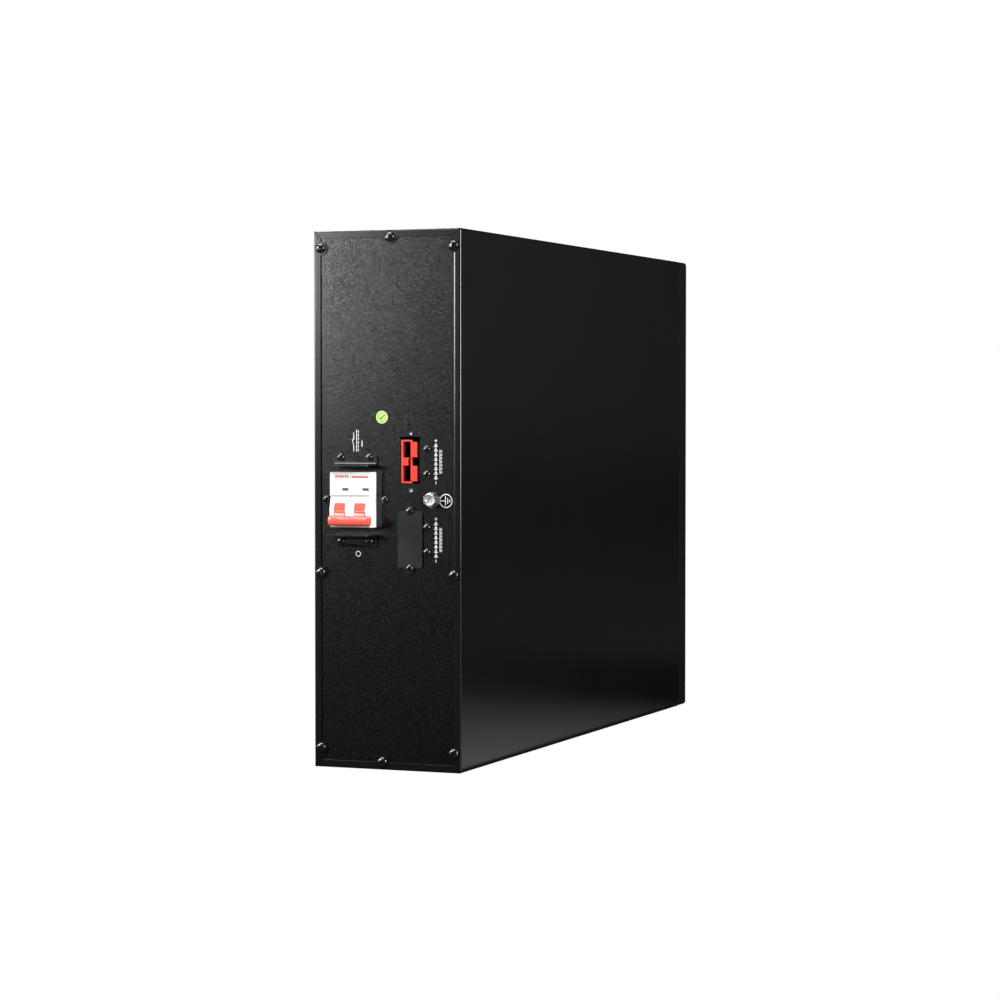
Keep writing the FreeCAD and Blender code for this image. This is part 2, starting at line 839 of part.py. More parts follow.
def finger_guard(label, leg_z, flange_z, way, holes):
    """An L-shaped guard: a flange screwed to the panel and a leg that stands out beside the handle."""
    body = new_body(label)
    back = "case_sheet"
    front = "case_sheet - guard_sheet"
    inner_z = f"{leg_z} {way} guard_sheet"
    flange = [
        ("guard_x - guard_flange_half", leg_z),
        ("guard_x + guard_flange_half", leg_z),
        ("guard_x + guard_flange_half", flange_z),
        ("guard_x - guard_flange_half", flange_z),
    ]
    profile(body, label + "_flange", "XZ", flange, front, back)
    leg = [
        (back, leg_z),
        ("-guard_reach", leg_z),
        ("-guard_reach", inner_z),
        (back, inner_z),
    ]
    profile(body, label + "_leg", "YZ", leg, "guard_x - guard_leg_half", "guard_x + guard_leg_half")
    leg_side = size(leg_z)
    flange_side = size(flange_z)
    sheet_side = leg_side + size("guard_sheet") * (1 if way == "+" else -1)
    rear = size("case_sheet")
    front_y = rear - size("guard_sheet")

    def heel(middle, direction):
        return abs(direction.x) > DIRECTED and near(middle.y, rear) and near(middle.z, leg_side)

    def crook(middle, direction):
        return abs(direction.x) > DIRECTED and near(middle.y, front_y) and near(middle.z, sheet_side)

    def flange_corner(middle, direction):
        return abs(direction.y) > DIRECTED and near(middle.z, flange_side)

    def leg_corner(middle, direction):
        return abs(direction.z) > DIRECTED and near(middle.y, -size("guard_reach"))

    round_edges(body, label + "_heel", label + "_heel", heel)
    round_edges(body, label + "_crook", label + "_bend", crook)
    round_edges(body, label + "_corners", "guard_corner", flange_corner)
    round_edges(body, label + "_tips", "guard_tip", leg_corner)
    for index, (x, z) in enumerate(holes):
        through = ("-cut_over", "case_sheet + cut_over")
        cut_rod(body, f"{label}_hole_{index}", "y", (x, z), "small_hole", *through)


def blank_plate():
    """The cover plate over the spare connector, with a round ear at each screw."""
    body = new_body("blank_plate")
    z = "plug_z - plug_pitch"
    depth = ("case_sheet - blank_sheet", "case_sheet")
    box(
        body,
        "blank_sheet_metal",
        ("plug_hole_x - blank_half_x", "plug_hole_x + blank_half_x"),
        depth,
        (f"{z} - blank_half_z", f"{z} + blank_half_z"),
    )
    round_edges(body, "blank_corners", "blank_corner", lambda middle, way: abs(way.y) > DIRECTED)
    through = ("-cut_over", "case_sheet + cut_over")
    for index, (x, hole_z) in enumerate(PLATE_HOLES["spare_"]):
        rod(body, f"blank_ear_{index}", "y", (x, hole_z), "blank_ear", *depth)
    for index, (x, hole_z) in enumerate(PLATE_HOLES["spare_"]):
        cut_rod(body, f"blank_hole_{index}", "y", (x, hole_z), "small_hole", *through)


def earth_terminal():
    """The hexagon earth screw with its spring and flat washers, its spacer collar and its inner nut."""
    head = new_body("earth_screw")
    corner = size("earth_hex") / math.sqrt(3)
    points = []
    for index in range(HEX_CORNERS):
        angle = 2 * math.pi * index / HEX_CORNERS + math.pi / 2
        across = corner * math.cos(angle)
        up = corner * math.sin(angle)
        points.append((f"earth_x + {across:.4f}", f"earth_z + {up:.4f}"))
    profile(head, "earth_hexagon", "XZ", points, "earth_head_front", "earth_head_back")
    spot = ("earth_x", "earth_z")
    rod(head, "earth_thread", "y", spot, "earth_shank", "earth_head_back", "earth_end")
    half_sizes = ("earth_slot_half", "earth_slot_width")
    for index, (across, up) in enumerate((half_sizes, half_sizes[::-1])):
        cut_box(
            head,
            f"earth_slot_{index}",
            (f"earth_x - {across}", f"earth_x + {across}"),
            ("earth_head_front - cut_over", "earth_head_front + earth_slot_deep"),
            (f"earth_z - {up}", f"earth_z + {up}"),
        )
    rings = (
        ("earth_spring_washer", "earth_spring", "earth_head_back", "earth_spring_back"),
        ("earth_flat_washer", "earth_washer", "earth_spring_back", "earth_flat_back"),
        ("earth_collar", "earth_collar", "earth_flat_back", "case_sheet"),
    )
    washers = []
    for name, radius, low, high in rings:
        solid = loose_rod(name + "_blank", "y", spot, radius, low, high)
        bore = loose_rod(name + "_bore", "y", spot, "earth_bore", f"{low} - cut_over", f"{high} + cut_over")
        washers.append(cut_away(name, solid, bore))
    group("earth_washers", washers)
    nut = new_body("earth_nut")
    back = "case_sheet + panel_sheet"
    end = f"{back} + earth_nut_height"
    profile(nut, "nut_hexagon", "XZ", points, back, end)
    cut_rod(nut, "nut_thread", "y", spot, "earth_thread_hole", back, f"{end} + cut_over")


def round_sticker():
    """A round paper sticker on the connection panel."""
    spot = ("sticker_x", "sticker_z")
    disc = loose_rod("sticker_disc", "y", spot, "sticker_radius", "sticker_front", "case_sheet")
    subpart(disc, "round_sticker")


# ---------------------------------------------------------------- breaker

POLES = {"left": "breaker_x - pole_width / 2", "right": "breaker_x + pole_width / 2"}


def case_corners(inset):
    """The side view of a breaker pole, as y and z pairs, moved inwards by inset."""
    back = f"case_back_y - {inset}"
    recess = f"case_back_y - rail_recess - {inset}"
    rail = f"rail_half + rail_slack + {inset}"
    return [
        (f"-nose_foot + {inset}", f"breaker_z - nose_half + {inset}"),
        (f"-nose_bulge + {inset}", "bulge_low_z"),
        (f"-nose_bulge + {inset}", "bulge_high_z"),
        (f"-nose_reach + nose_step + {inset}", f"nose_step_z + {inset}"),
        (f"-nose_reach + {inset}", f"nose_step_z + {inset}"),
        (f"-nose_reach + {inset}", f"breaker_z + nose_half - {inset}"),
        (f"shoulder_y + {inset}", f"breaker_z + nose_half - {inset}"),
        (f"shoulder_y + {inset}", f"breaker_z + case_half - {inset}"),
        (back, f"breaker_z + case_half - {inset}"),
        (back, f"breaker_z + {rail}"),
        (recess, f"breaker_z + {rail}"),
        (recess, f"breaker_z - ({rail})"),
        (back, f"breaker_z - ({rail})"),
        (back, f"breaker_z - case_half + {inset}"),
        (f"shoulder_y + {inset}", f"breaker_z - case_half + {inset}"),
        (f"shoulder_y + {inset}", f"breaker_z - nose_half + {inset}"),
    ]


def pole_case(name, x):
    """One moulded breaker pole: a hollow case with a toggle window, screw wells and wire entries."""
    body = new_body("breaker_case_" + name)
    half = "pole_width / 2 - pole_gap / 2"
    profile(body, f"{name}_shell", "YZ", case_corners("0"), f"{x} - ({half})", f"{x} + {half}")
    foot = -size("nose_foot")
    low_z = size("breaker_z") - size("nose_half")

    def nose_edge(middle, direction):
        along_x = abs(direction.x) > DIRECTED
        side_edge = middle.y < foot + EDGE_BAND and not along_x
        return side_edge or near(middle.y, foot) and near(middle.z, low_z)

    round_edges(body, f"{name}_nose_edges", "nose_round", nose_edge)
    hollow = "pole_width / 2 - case_cheek"
    cavity = case_corners("case_wall")
    cut_profile(body, f"{name}_cavity", "YZ", cavity, f"{x} - ({hollow})", f"{x} + {hollow}")
    cut_box(
        body,
        f"{name}_window",
        (f"{x} - window_half", f"{x} + window_half"),
        ("-nose_bulge - cut_over", "-nose_foot + case_wall + cut_over"),
        ("window_low_z", "window_high_z"),
    )
    for index, sign in enumerate("-+"):
        well = f"breaker_z {sign} (case_half - well_inset)"
        depth = ("shoulder_y - cut_over", "shoulder_y + well_depth")
        cut_rod(body, f"{name}_well_{index}", "y", (x, well), "screw_well", *depth)
        end = f"breaker_z {sign} case_half"
        ends = (f"{end} - wire_depth", f"{end} + wire_depth")
        cut_rod(body, f"{name}_wire_{index}", "z", (x, "wire_y"), "wire_hole", *ends)


def toggle(name, x):
    """One pole's toggle: a drum on its pin and a lever that leans down in the OFF position."""
    body = new_body("toggle_" + name)
    wide = (f"{x} - toggle_half", f"{x} + toggle_half")
    spot = ("throw_y", "throw_z")
    rod(body, f"{name}_drum", "x", spot, "drum_radius", *wide)
    lever = body.newObject("PartDesign::AdditiveBox", f"{name}_lever")
    lean = size("lever_lean")
    thick = size("lever_half")
    lever.Placement = FreeCAD.Placement(V(), FreeCAD.Rotation(V(1, 0, 0), lean))
    bind(lever, "Length", "lever_width_half * 2")
    bind(lever, "Width", "lever_end")
    bind(lever, "Height", "lever_half * 2")
    tilt = math.radians(lean)
    reach = size("lever_end")
    back_y = -reach * math.cos(tilt) + thick * math.sin(tilt)
    back_z = -reach * math.sin(tilt) - thick * math.cos(tilt)
    bind(lever, "Placement.Base.x", f"{x} - lever_width_half")
    bind(lever, "Placement.Base.y", f"throw_y + {back_y:.4f}")
    bind(lever, "Placement.Base.z", f"throw_z + {back_z:.4f}")
    cut_rod(body, f"{name}_pin_bore", "x", spot, "pin_bore", f"{x} - bore_half", f"{x} + bore_half")
    return body


def handle_tie_bar(toggles):
    """The red bar that joins both toggles, with a socket for each lever."""
    bar = new_body("tie_bar_blank", placed=False)
    bind(bar, "Placement.Base.y", "rear_face_y")
    box(
        bar,
        "bar_block",
        ("bar_x - bar_half", "bar_x + bar_half"),
        ("-bar_front", "-bar_back"),
        ("bar_low_z", "bar_high_z"),
    )
    round_edges(bar, "bar_rounds", "bar_round", lambda middle, way: abs(way.x) > DIRECTED)
    first = cut_away("tie_bar_first_socket", bar, toggles[0])
    subpart(cut_away("tie_bar_second_socket", first, toggles[1]), "handle_tie_bar")


def contact_arm(name, x):
    """One pole's moving contact arm, with its hub, its button and its pin bore."""
    body = new_body(f"{name}_contact_arm", placed=False)
    bind(body, "Placement.Base.y", "rear_face_y")
    wide = (f"{x} - arm_width_half", f"{x} + arm_width_half")
    spot = ("arm_y", "arm_z")
    rod(body, f"{name}_hub", "x", spot, "arm_hub", *wide)
    blade = ("arm_y - arm_half", "arm_y + arm_half")
    box(body, f"{name}_blade", wide, blade, ("arm_z", "arm_top_z"))
    button = ("arm_y + arm_half - weld_lap", "arm_button_face")
    box(body, f"{name}_button", wide, button, ("arm_button_low_z", "arm_top_z"))
    cut_rod(body, f"{name}_arm_bore", "x", spot, "pin_bore", f"{x} - bore_half", f"{x} + bore_half")
    return body


def terminal_cage(name, x, index, sign):
    """A terminal's wire cage. The upper one carries the fixed contact."""
    body = new_body(f"{name}_cage_{index}", placed=False)
    bind(body, "Placement.Base.y", "rear_face_y")
    outer = f"breaker_z {sign} (case_half - cage_inset)"
    inner = f"breaker_z {sign} (case_half - cage_inset - cage_height)"
    ends = (inner, outer) if sign == "+" else (outer, inner)
    wide = (f"{x} - cage_half", f"{x} + cage_half")
    box(body, f"{name}_cage_block_{index}", wide, ("cage_front", "cage_back"), ends)
    if sign == "+":
        blade = (f"{x} - arm_width_half", f"{x} + arm_width_half")
        bar = ("fixed_back", "fixed_bar_back")
        box(body, f"{name}_fixed_bar", blade, bar, ("fixed_low_z", f"{inner} + blade_lap"))
        face = ("fixed_face", "fixed_back + weld_lap")
        box(body, f"{name}_fixed_button", blade, face, ("fixed_low_z", "fixed_high_z"))
    bore_from = f"{ends[0]} - cut_over" if sign == "-" else f"{ends[0]} + cage_floor"
    bore_to = f"{ends[1]} - cage_floor" if sign == "-" else f"{ends[1]} + cut_over"
    cut_rod(body, f"{name}_cage_bore_{index}", "z", (x, "wire_y"), "cage_bore", bore_from, bore_to)
    screw_spot = (x, f"breaker_z {sign} (case_half - cage_inset - cage_height / 2)")
    hole = f"{name}_cage_thread_{index}"
    run = ("cage_front - cut_over", "terminal_end + terminal_gap")
    cut_rod(body, hole, "y", screw_spot, "cage_screw_bore", *run)
    return body


def terminal_screw(name, x, index, sign):
    """A terminal's slotted clamp screw, reached through the well in the case."""
    body = new_body(f"{name}_terminal_screw_{index}", placed=False)
    bind(body, "Placement.Base.y", "rear_face_y")
    spot_z = f"breaker_z {sign} (case_half - cage_inset - cage_height / 2)"
    spot = (x, spot_z)
    head = f"{name}_terminal_head_{index}"
    rod(body, head, "y", spot, "terminal_head", "terminal_head_front", "terminal_head_back")
    rod(body, f"{head}_thread", "y", spot, "terminal_shank", "terminal_head_back", "terminal_end")
    cut_box(
        body,
        f"{head}_slot",
        (f"{x} - terminal_head - terminal_gap", f"{x} + terminal_head + terminal_gap"),
        ("terminal_head_front - cut_over", "terminal_head_front + terminal_slot_deep"),
        (f"{spot_z} - terminal_slot_half", f"{spot_z} + terminal_slot_half"),
    )
    return body


def breaker():
    """Two identical poles side by side on one DIN rail, with one tied handle."""
    toggles, arms, pins, cages, screws, plates, coils = [], [], [], [], [], [], []
    for name, x in POLES.items():
        pole_case(name, x)
        toggles.append(toggle(name, x))
        arms.append(contact_arm(name, x))
        cheeks = (f"{x} - pole_width / 2 + case_cheek", f"{x} + pole_width / 2 - case_cheek")
        pins.append(loose_rod(f"{name}_throw_pin", "x", ("throw_y", "throw_z"), "pin_radius", *cheeks))
        pins.append(loose_rod(f"{name}_arm_pin", "x", ("arm_y", "arm_z"), "pin_radius", *cheeks))
        for index, sign in enumerate("-+"):
            cages.append(terminal_cage(name, x, index, sign))
            screws.append(terminal_screw(name, x, index, sign))
        for index in range(CHUTE_PLATES):
            low = f"chute_low_z + {index} * chute_pitch"
            wide = (f"{x} - chute_half", f"{x} + chute_half")
            spot = (low, f"{low} + chute_plate")
            plates.append(loose_box(f"{name}_chute_{index}", wide, ("chute_front", "chute_back"), spot))
        run = ("coil_low_z", "coil_high_z")
        winding = loose_rod(f"{name}_winding", "z", (x, "coil_y"), "coil_outer", *run)
        hole = loose_rod(f"{name}_winding_hole", "z", (x, "coil_y"), "coil_inner", *run)
        coils.append(cut_away(f"{name}_coil", winding, hole))
    handle_tie_bar(toggles)
    group("contact_arms", arms)
    group("breaker_pins", pins)
    group("terminal_cages", cages)
    group("terminal_screws", screws)
    group("arc_chutes", plates)
    group("trip_coils", coils)


def din_rail():
    """A short 35 mm top-hat rail inside the breaker's bracket."""
    body = new_body("din_rail")
    front = "case_back_y - rail_recess"
    flange = f"{front} + rail_gauge"
    hat = "rail_back_y"
    corners = []
    for sign, ordered in (("+", 1), ("-", -1)):
        run = [
            (front, f"breaker_z {sign} rail_half"),
            (flange, f"breaker_z {sign} rail_half"),
            (flange, f"breaker_z {sign} (rail_flat + rail_gauge)"),
            (hat, f"breaker_z {sign} (rail_flat + rail_gauge)"),
        ]
        corners += run[::ordered]
    inner = [
        (front, "breaker_z - rail_flat"),
        (f"{hat} - rail_gauge", "breaker_z - rail_flat"),
        (f"{hat} - rail_gauge", "breaker_z + rail_flat"),
        (front, "breaker_z + rail_flat"),
    ]
    wide = ("bracket_x - rail_length_half", "bracket_x + rail_length_half")
    profile(body, "rail_run", "YZ", corners + inner, *wide)


def breaker_bracket():
    """A folded bracket: a base behind the rail, two wings beside the breaker and two screwed flanges."""
    body = new_body("breaker_bracket")
    front = "case_sheet + panel_sheet"
    fold = "case_sheet + panel_sheet * 2"
    back_inner = "bracket_back_y - panel_sheet"
    right = [
        ("bracket_inner_half", back_inner),
        ("bracket_inner_half", front),
        ("bracket_flange_half", front),
        ("bracket_flange_half", fold),
        ("bracket_outer_half", fold),
        ("bracket_outer_half", "bracket_back_y"),
    ]
    corners = [(f"bracket_x + {x}", y) for x, y in right]
    corners += [(f"bracket_x - {x}", y) for x, y in right[::-1]]
    tall = ("breaker_z - bracket_half_z", "breaker_z + bracket_half_z")
    profile(body, "bracket_run", "XY", corners, *tall)
    for index, (x, z) in enumerate(BRACKET_HOLES):
        run = (f"{front} - cut_over", f"{fold} + cut_over")
        cut_rod(body, f"bracket_hole_{index}", "y", (x, z), "small_hole", *run)


# ---------------------------------------------------------------- connectors


def connector_housing(name, shift):
    """A genderless two-pole housing: a hood with two cavities beside two solid tongues."""
    body = new_body(name + "connector_housing")
    z = f"plug_z - {shift}"
    tall = (f"{z} - plug_half_z", f"{z} + plug_half_z")
    hood_right = "plug_mid_x + plug_mid_wall"
    box(body, name + "hood", ("plug_left_x", hood_right), ("plug_front", "plug_back"), tall)
    wide = (f"{hood_right} - weld_lap", "plug_right_x")
    box(body, name + "body", wide, ("plug_tongue_root", "plug_back"), tall)
    for index, sign in enumerate("-+"):
        inner = f"{z} {sign} tongue_low"
        outer = f"{z} {sign} tongue_high"
        span = (outer, inner) if sign == "-" else (inner, outer)
        slim = (wide[0], "plug_tongue_x")
        box(body, f"{name}tongue_{index}", slim, ("plug_front", "plug_tongue_root + weld_lap"), span)
    corner_x = size("plug_left_x")
    round_edges(
        body,
        name + "hood_corners",
        "plug_round",
        lambda middle, way: abs(way.y) > DIRECTED and near(middle.x, corner_x),
    )
    hollow = ("plug_left_x + plug_wall", "plug_mid_x")
    for index, sign in enumerate("-+"):
        inner = f"{z} {sign} plug_rib_half"
        outer = f"{z} {sign} (plug_half_z - plug_wall)"
        span = (outer, inner) if sign == "-" else (inner, outer)
        cut_box(body, f"{name}cavity_{index}", hollow, ("plug_front - cut_over", "plug_cavity"), span)
    rib = (f"{z} - plug_rib_half - weld_lap", f"{z} + plug_rib_half + weld_lap")
    depth = ("plug_front - cut_over", "plug_cavity")
    cut_box(body, name + "rib_side", ("plug_rib_x", "plug_mid_x"), depth, rib)
    for index, sign in enumerate("-+"):
        spot = ("contact_barrel_x", f"{z} {sign} contact_z")
        bore = ("plug_cavity - cut_over", "plug_back + cut_over")
        cut_rod(body, f"{name}wire_bore_{index}", "y", spot, "contact_barrel + barrel_slack", *bore)


def connector_contacts():
    """The silver-plated contacts: a flat blade in each cavity and a crimp barrel behind it."""
    contacts = []
    for name, shift in PLUG_SHIFTS.items():
        for index, sign in enumerate("-+"):
            body = new_body(f"{name}contact_{index}", placed=False)
            bind(body, "Placement.Base.y", "rear_face_y")
            z = f"plug_z - {shift} {sign} contact_z"
            wide = ("contact_x", "contact_x + contact_gauge")
            tall = (f"{z} - contact_half", f"{z} + contact_half")
            blade = ("contact_front", "plug_cavity - contact_gap")
            box(body, f"{name}blade_{index}", wide, blade, tall)
            spot = ("contact_barrel_x", z)
            run = ("plug_cavity - cut_over", "contact_barrel_back")
            rod(body, f"{name}barrel_{index}", "y", spot, "contact_barrel", *run)
            contacts.append(body)
    group("connector_contacts", contacts)


def connector_holder(name, shift):
    """An angle behind the panel that carries a connector housing."""
    body = new_body(name + "holder_angle", placed=False)
    bind(body, "Placement.Base.y", "rear_face_y")
    z = f"plug_z - {shift}"
    tall = (f"{z} - holder_half_z", f"{z} + holder_half_z")
    front = "case_sheet + panel_sheet"
    fold = "case_sheet + panel_sheet * 2"
    leg = "holder_leg_x + holder_leg_gauge"
    corners = [
        ("holder_leg_x", front),
        ("holder_flange_x", front),
        ("holder_flange_x", fold),
        (leg, fold),
        (leg, "holder_leg_back"),
        ("holder_leg_x", "holder_leg_back"),
    ]
    profile(body, name + "holder_run", "XY", corners, *tall)
    for index, (x, hole_z) in enumerate(HOLDER_HOLES[name]):
        run = (f"{front} - cut_over", f"{fold} + cut_over")
        cut_rod(body, f"{name}holder_hole_{index}", "y", (x, hole_z), "small_hole", *run)
    return body


# ---------------------------------------------------------------- battery bay


def block_places():
    """Centre y and z, whether the block lies along z, for every block in stringing order."""
    places = []
    start = size("tray_start_y") + size("tray_lip") + size("tray_gap")
    for tray in range(TRAYS):
        low = size("tray_low_z") + tray * size("tray_pitch_z") + size("tray_gap")
        long_z = low + size("block_long") / 2
        short_z = low + size("block_long") + size("block_short") / 2
        for index in range(LONG_BLOCKS):
            places.append((start + size("block_short") * (index + 0.5), long_z, True))
        for index in reversed(range(SHORT_BLOCKS)):
            places.append((start + size("block_long") * (index + 0.5), short_z, False))
    return places


def battery_block(number, y, z, upright):
    """One sealed 12 V block with its two tab terminals towards the cover."""
    body = new_body(f"battery_{number:02d}")
    slack = size("block_slack") / 2
    half_y = size("block_short" if upright else "block_long") / 2 - slack
    half_z = size("block_long" if upright else "block_short") / 2 - slack
    base = "tray_floor_x"
    top = f"{base} - block_tall"
    box(body, f"block_{number}", (top, base), (y - half_y, y + half_y), (z - half_z, z + half_z))
    round_edges(body, f"block_edges_{number}", "block_round", lambda middle, way: abs(way.x) > DIRECTED)
    for index, (post_y, post_z) in enumerate(post_spots(y, z, upright)):
        box(
            body,
            f"post_{number}_{index}",
            (f"{top} - post_height", f"{top} + weld_lap"),
            (f"{post_y} - post_gauge / 2", f"{post_y} + post_gauge / 2"),
            (f"{post_z} - post_half", f"{post_z} + post_half"),
        )


def post_spots(y, z, upright):
    """y and z of a block's positive and negative terminals."""
    side = size("post_side")
    end = size("post_end")
    if upright:
        return [(y - side, z + end), (y + side, z + end)]
    return [(y + end, z + side), (y + end, z - side)]


def battery_tray(number):
    """A steel tray: a floor against the base side and a lip at each end."""
    name = ("lower", "upper")[number]
    body = new_body(name + "_tray")
    low = f"tray_low_z + {number} * tray_pitch_z"
    tall = (low, f"{low} + tray_span_z")
    blocks = size("block_short") * LONG_BLOCKS
    end = f"tray_start_y + tray_lip * 2 + {blocks} + tray_gap * 2"
    floor = ("tray_floor_x", "tray_floor_x + tray_sheet")
    box(body, name + "_floor", floor, ("tray_start_y", end), tall)
    lip = ("tray_floor_x - tray_lip_height", "tray_floor_x + weld_lap")
    box(body, name + "_rear_lip", lip, ("tray_start_y", "tray_start_y + tray_lip"), tall)
    box(body, name + "_front_lip", lip, (f"{end} - tray_lip", end), tall)


def lead_shape(points, radius, bend):
    """A round lead along straight runs joined by tangent arcs of one bend radius."""
    edges = []
    start = points[0]
    for before, corner, after in zip(points, points[1:], points[2:]):
        incoming = (before - corner).normalize()
        outgoing = (after - corner).normalize()
        half_turn = incoming.getAngle(outgoing) / 2
        setback = bend / math.tan(half_turn)
        first = corner + incoming * setback
        last = corner + outgoing * setback
        inward = (incoming + outgoing).normalize()
        middle = corner + inward * (bend / math.sin(half_turn) - bend)
        edges.append(Part.LineSegment(start, first).toShape())
        edges.append(Part.Arc(first, middle, last).toShape())
        start = last
    edges.append(Part.LineSegment(start, points[-1]).toShape())
    path = Part.Wire(edges)
    ring = Part.Wire(Part.Circle(points[0], points[1] - points[0], radius).toShape())
    return path.makePipeShell([ring], True, False)


def lead(name, points, radius, bend):
    """A Part feature for one lead, laid out from the connection panel's plane."""
    feature = doc.addObject("Part::Feature", name)
    feature.Shape = lead_shape([V(*point) for point in points], radius, bend)
    feature.Placement = FreeCAD.Placement(V(0, size("rear_face_y"), 0), FreeCAD.Rotation())
    return feature


def battery_bay():
    """Trays, blocks and the jumpers that string the blocks in series."""
    places = block_places()
    for number in range(TRAYS):
        battery_tray(number)
    for number, place in enumerate(places, start=1):
        battery_block(number, *place)
    tab_x = size("tray_floor_x") - size("block_tall") - size("post_height")
    over_x = tab_x - size("jumper_rise")
    jumpers = []
    for number, (one, other) in enumerate(zip(places, places[1:])):
        start_y, start_z = post_spots(*one)[1]
        end_y, end_z = post_spots(*other)[0]
        route = [
            (tab_x, start_y, start_z),
            (over_x, start_y, start_z),
            (over_x, end_y, end_z),
            (tab_x, end_y, end_z),
        ]
        jumpers.append(lead(f"jumper_{number}", route, size("jumper_radius"), size("jumper_bend")))
    group("jumper_leads", jumpers)


def bay_bulkhead():
    """The plate between the connection space and the battery bay, with a hole for the leads."""
    body = new_body("bay_bulkhead")
    run = ("bulkhead_y", "bulkhead_y + bulkhead_sheet")
    wide = ("-bulkhead_half_x", "bulkhead_half_x")
    tall = ("bulkhead_margin", "cabinet_height - bulkhead_margin")
    box(body, "bulkhead_plate", wide, run, tall)
    spot = ("bulkhead_hole_x", "bulkhead_hole_z")
    through = (f"{run[0]} - cut_over", f"{run[1]} + cut_over")
    cut_rod(body, "bulkhead_lead_hole", "y", spot, "bulkhead_hole", *through)


def fuse():
    """A bolted fuse body in the positive battery lead."""
    body = new_body("string_fuse")
    spot = ("fuse_x", "fuse_z")
    front_cap = ("fuse_front", "fuse_front + fuse_cap")
    back_cap = ("fuse_back - fuse_cap", "fuse_back")
    barrel = (f"{front_cap[1]} - fuse_cap_lap", f"{back_cap[0]} + fuse_cap_lap")
    rod(body, "fuse_barrel", "y", spot, "fuse_radius", *barrel)
    rod(body, "fuse_front_cap", "y", spot, "fuse_cap_radius", *front_cap)
    rod(body, "fuse_back_cap", "y", spot, "fuse_cap_radius", *back_cap)


def power_leads():
    """The breaker's leads: two to the connector, two from the batteries, one of them with the fuse."""
    radius = size("lead_radius")
    half = size("pole_width") / 2
    left = size("breaker_x") - half
    right = size("breaker_x") + half
    top = size("breaker_z") + size("case_half") - size("lead_entry")
    foot = size("breaker_z") - size("case_half") + size("lead_entry")
    wire_y = size("wire_y")
    barrel_x = size("contact_barrel_x")
    barrel_y = size("contact_barrel_back")
    upper = size("plug_z") + size("contact_z")
    lower = size("plug_z") - size("contact_z")
    positive = [
        (left, wire_y, top),
        (left, wire_y, 292),
        (-10, 66, 306),
        (barrel_x, 78, 292),
        (barrel_x, 78, upper),
        (barrel_x, barrel_y, upper),
    ]
    negative = [
        (right, wire_y, top),
        (right, wire_y, 280),
        (-4, 66, 272),
        (-4, 76, lower),
        (barrel_x, 76, lower),
        (barrel_x, barrel_y, lower),
    ]
    positive_bend, negative_bend = PLUG_LEAD_BENDS
    plug_runs = [
        lead("positive_lead", positive, radius, positive_bend),
        lead("negative_lead", negative, radius, negative_bend),
    ]
    group("connector_leads", plug_runs)
    fuse_x = size("fuse_x")
    fuse_z = size("fuse_z")
    to_fuse = [
        (left, wire_y, foot),
        (left, wire_y, 150),
        (fuse_x, 36, fuse_z),
        (fuse_x, size("fuse_front"), fuse_z),
    ]
    fuse_bend, string_bend = STRING_LEAD_BENDS
    string_positive = lead("fuse_lead_run", to_fuse, radius, fuse_bend)
    string_negative = [
        (right, wire_y, foot),
        (right, wire_y, 166),
        (size("bulkhead_hole_x"), 62, 154),
        (size("bulkhead_hole_x"), 112, 154),
    ]
    runs = [string_positive, lead("string_lead_run", string_negative, radius, string_bend)]
    group("battery_leads", runs)


# ---------------------------------------------------------------- front

HOOKS = [(x, z) for x in ("-hook_x", "hook_x") for z in ("-hook_z", "hook_z")]


def front_plate():
    """The steel plate that closes the battery bay behind the bezel, with a flange at each end."""
    body = new_body("front_plate")
    wide = ("-front_half_x", "front_half_x")
    low = "case_sheet + flange_gap"
    high = "cabinet_height - case_sheet - flange_gap"
    back = "front_plate_y + case_sheet"
    box(body, "closing_plate", wide, ("front_plate_y", back), (low, high))
    run = ("front_flange_y", "front_plate_y + weld_lap")
    box(body, "front_low_flange", wide, run, (low, f"{low} + case_sheet"))
    box(body, "front_high_flange", wide, run, (f"{high} - case_sheet", high))
    for index, (x, z) in enumerate(HOOKS):
        cut_box(
            body,
            f"hook_slot_{index}",
            (f"{x} - hook_gauge - hook_slack", f"{x} + hook_gauge + hook_slack"),
            ("front_plate_y - cut_over", f"{back} + cut_over"),
            (
                f"cabinet_height / 2 + {z} - hook_half - hook_slack",
                f"cabinet_height / 2 + {z} + hook_half + hook_slack",
            ),
        )
    for index, x in enumerate(("-front_screw_x", "0", "front_screw_x")):
        for name, start, end in TAP_ENDS:
            spot = (x, "front_screw_y")
            cut_rod(body, f"front_hole_{name}_{index}", "z", spot, "side_hole", start, end)


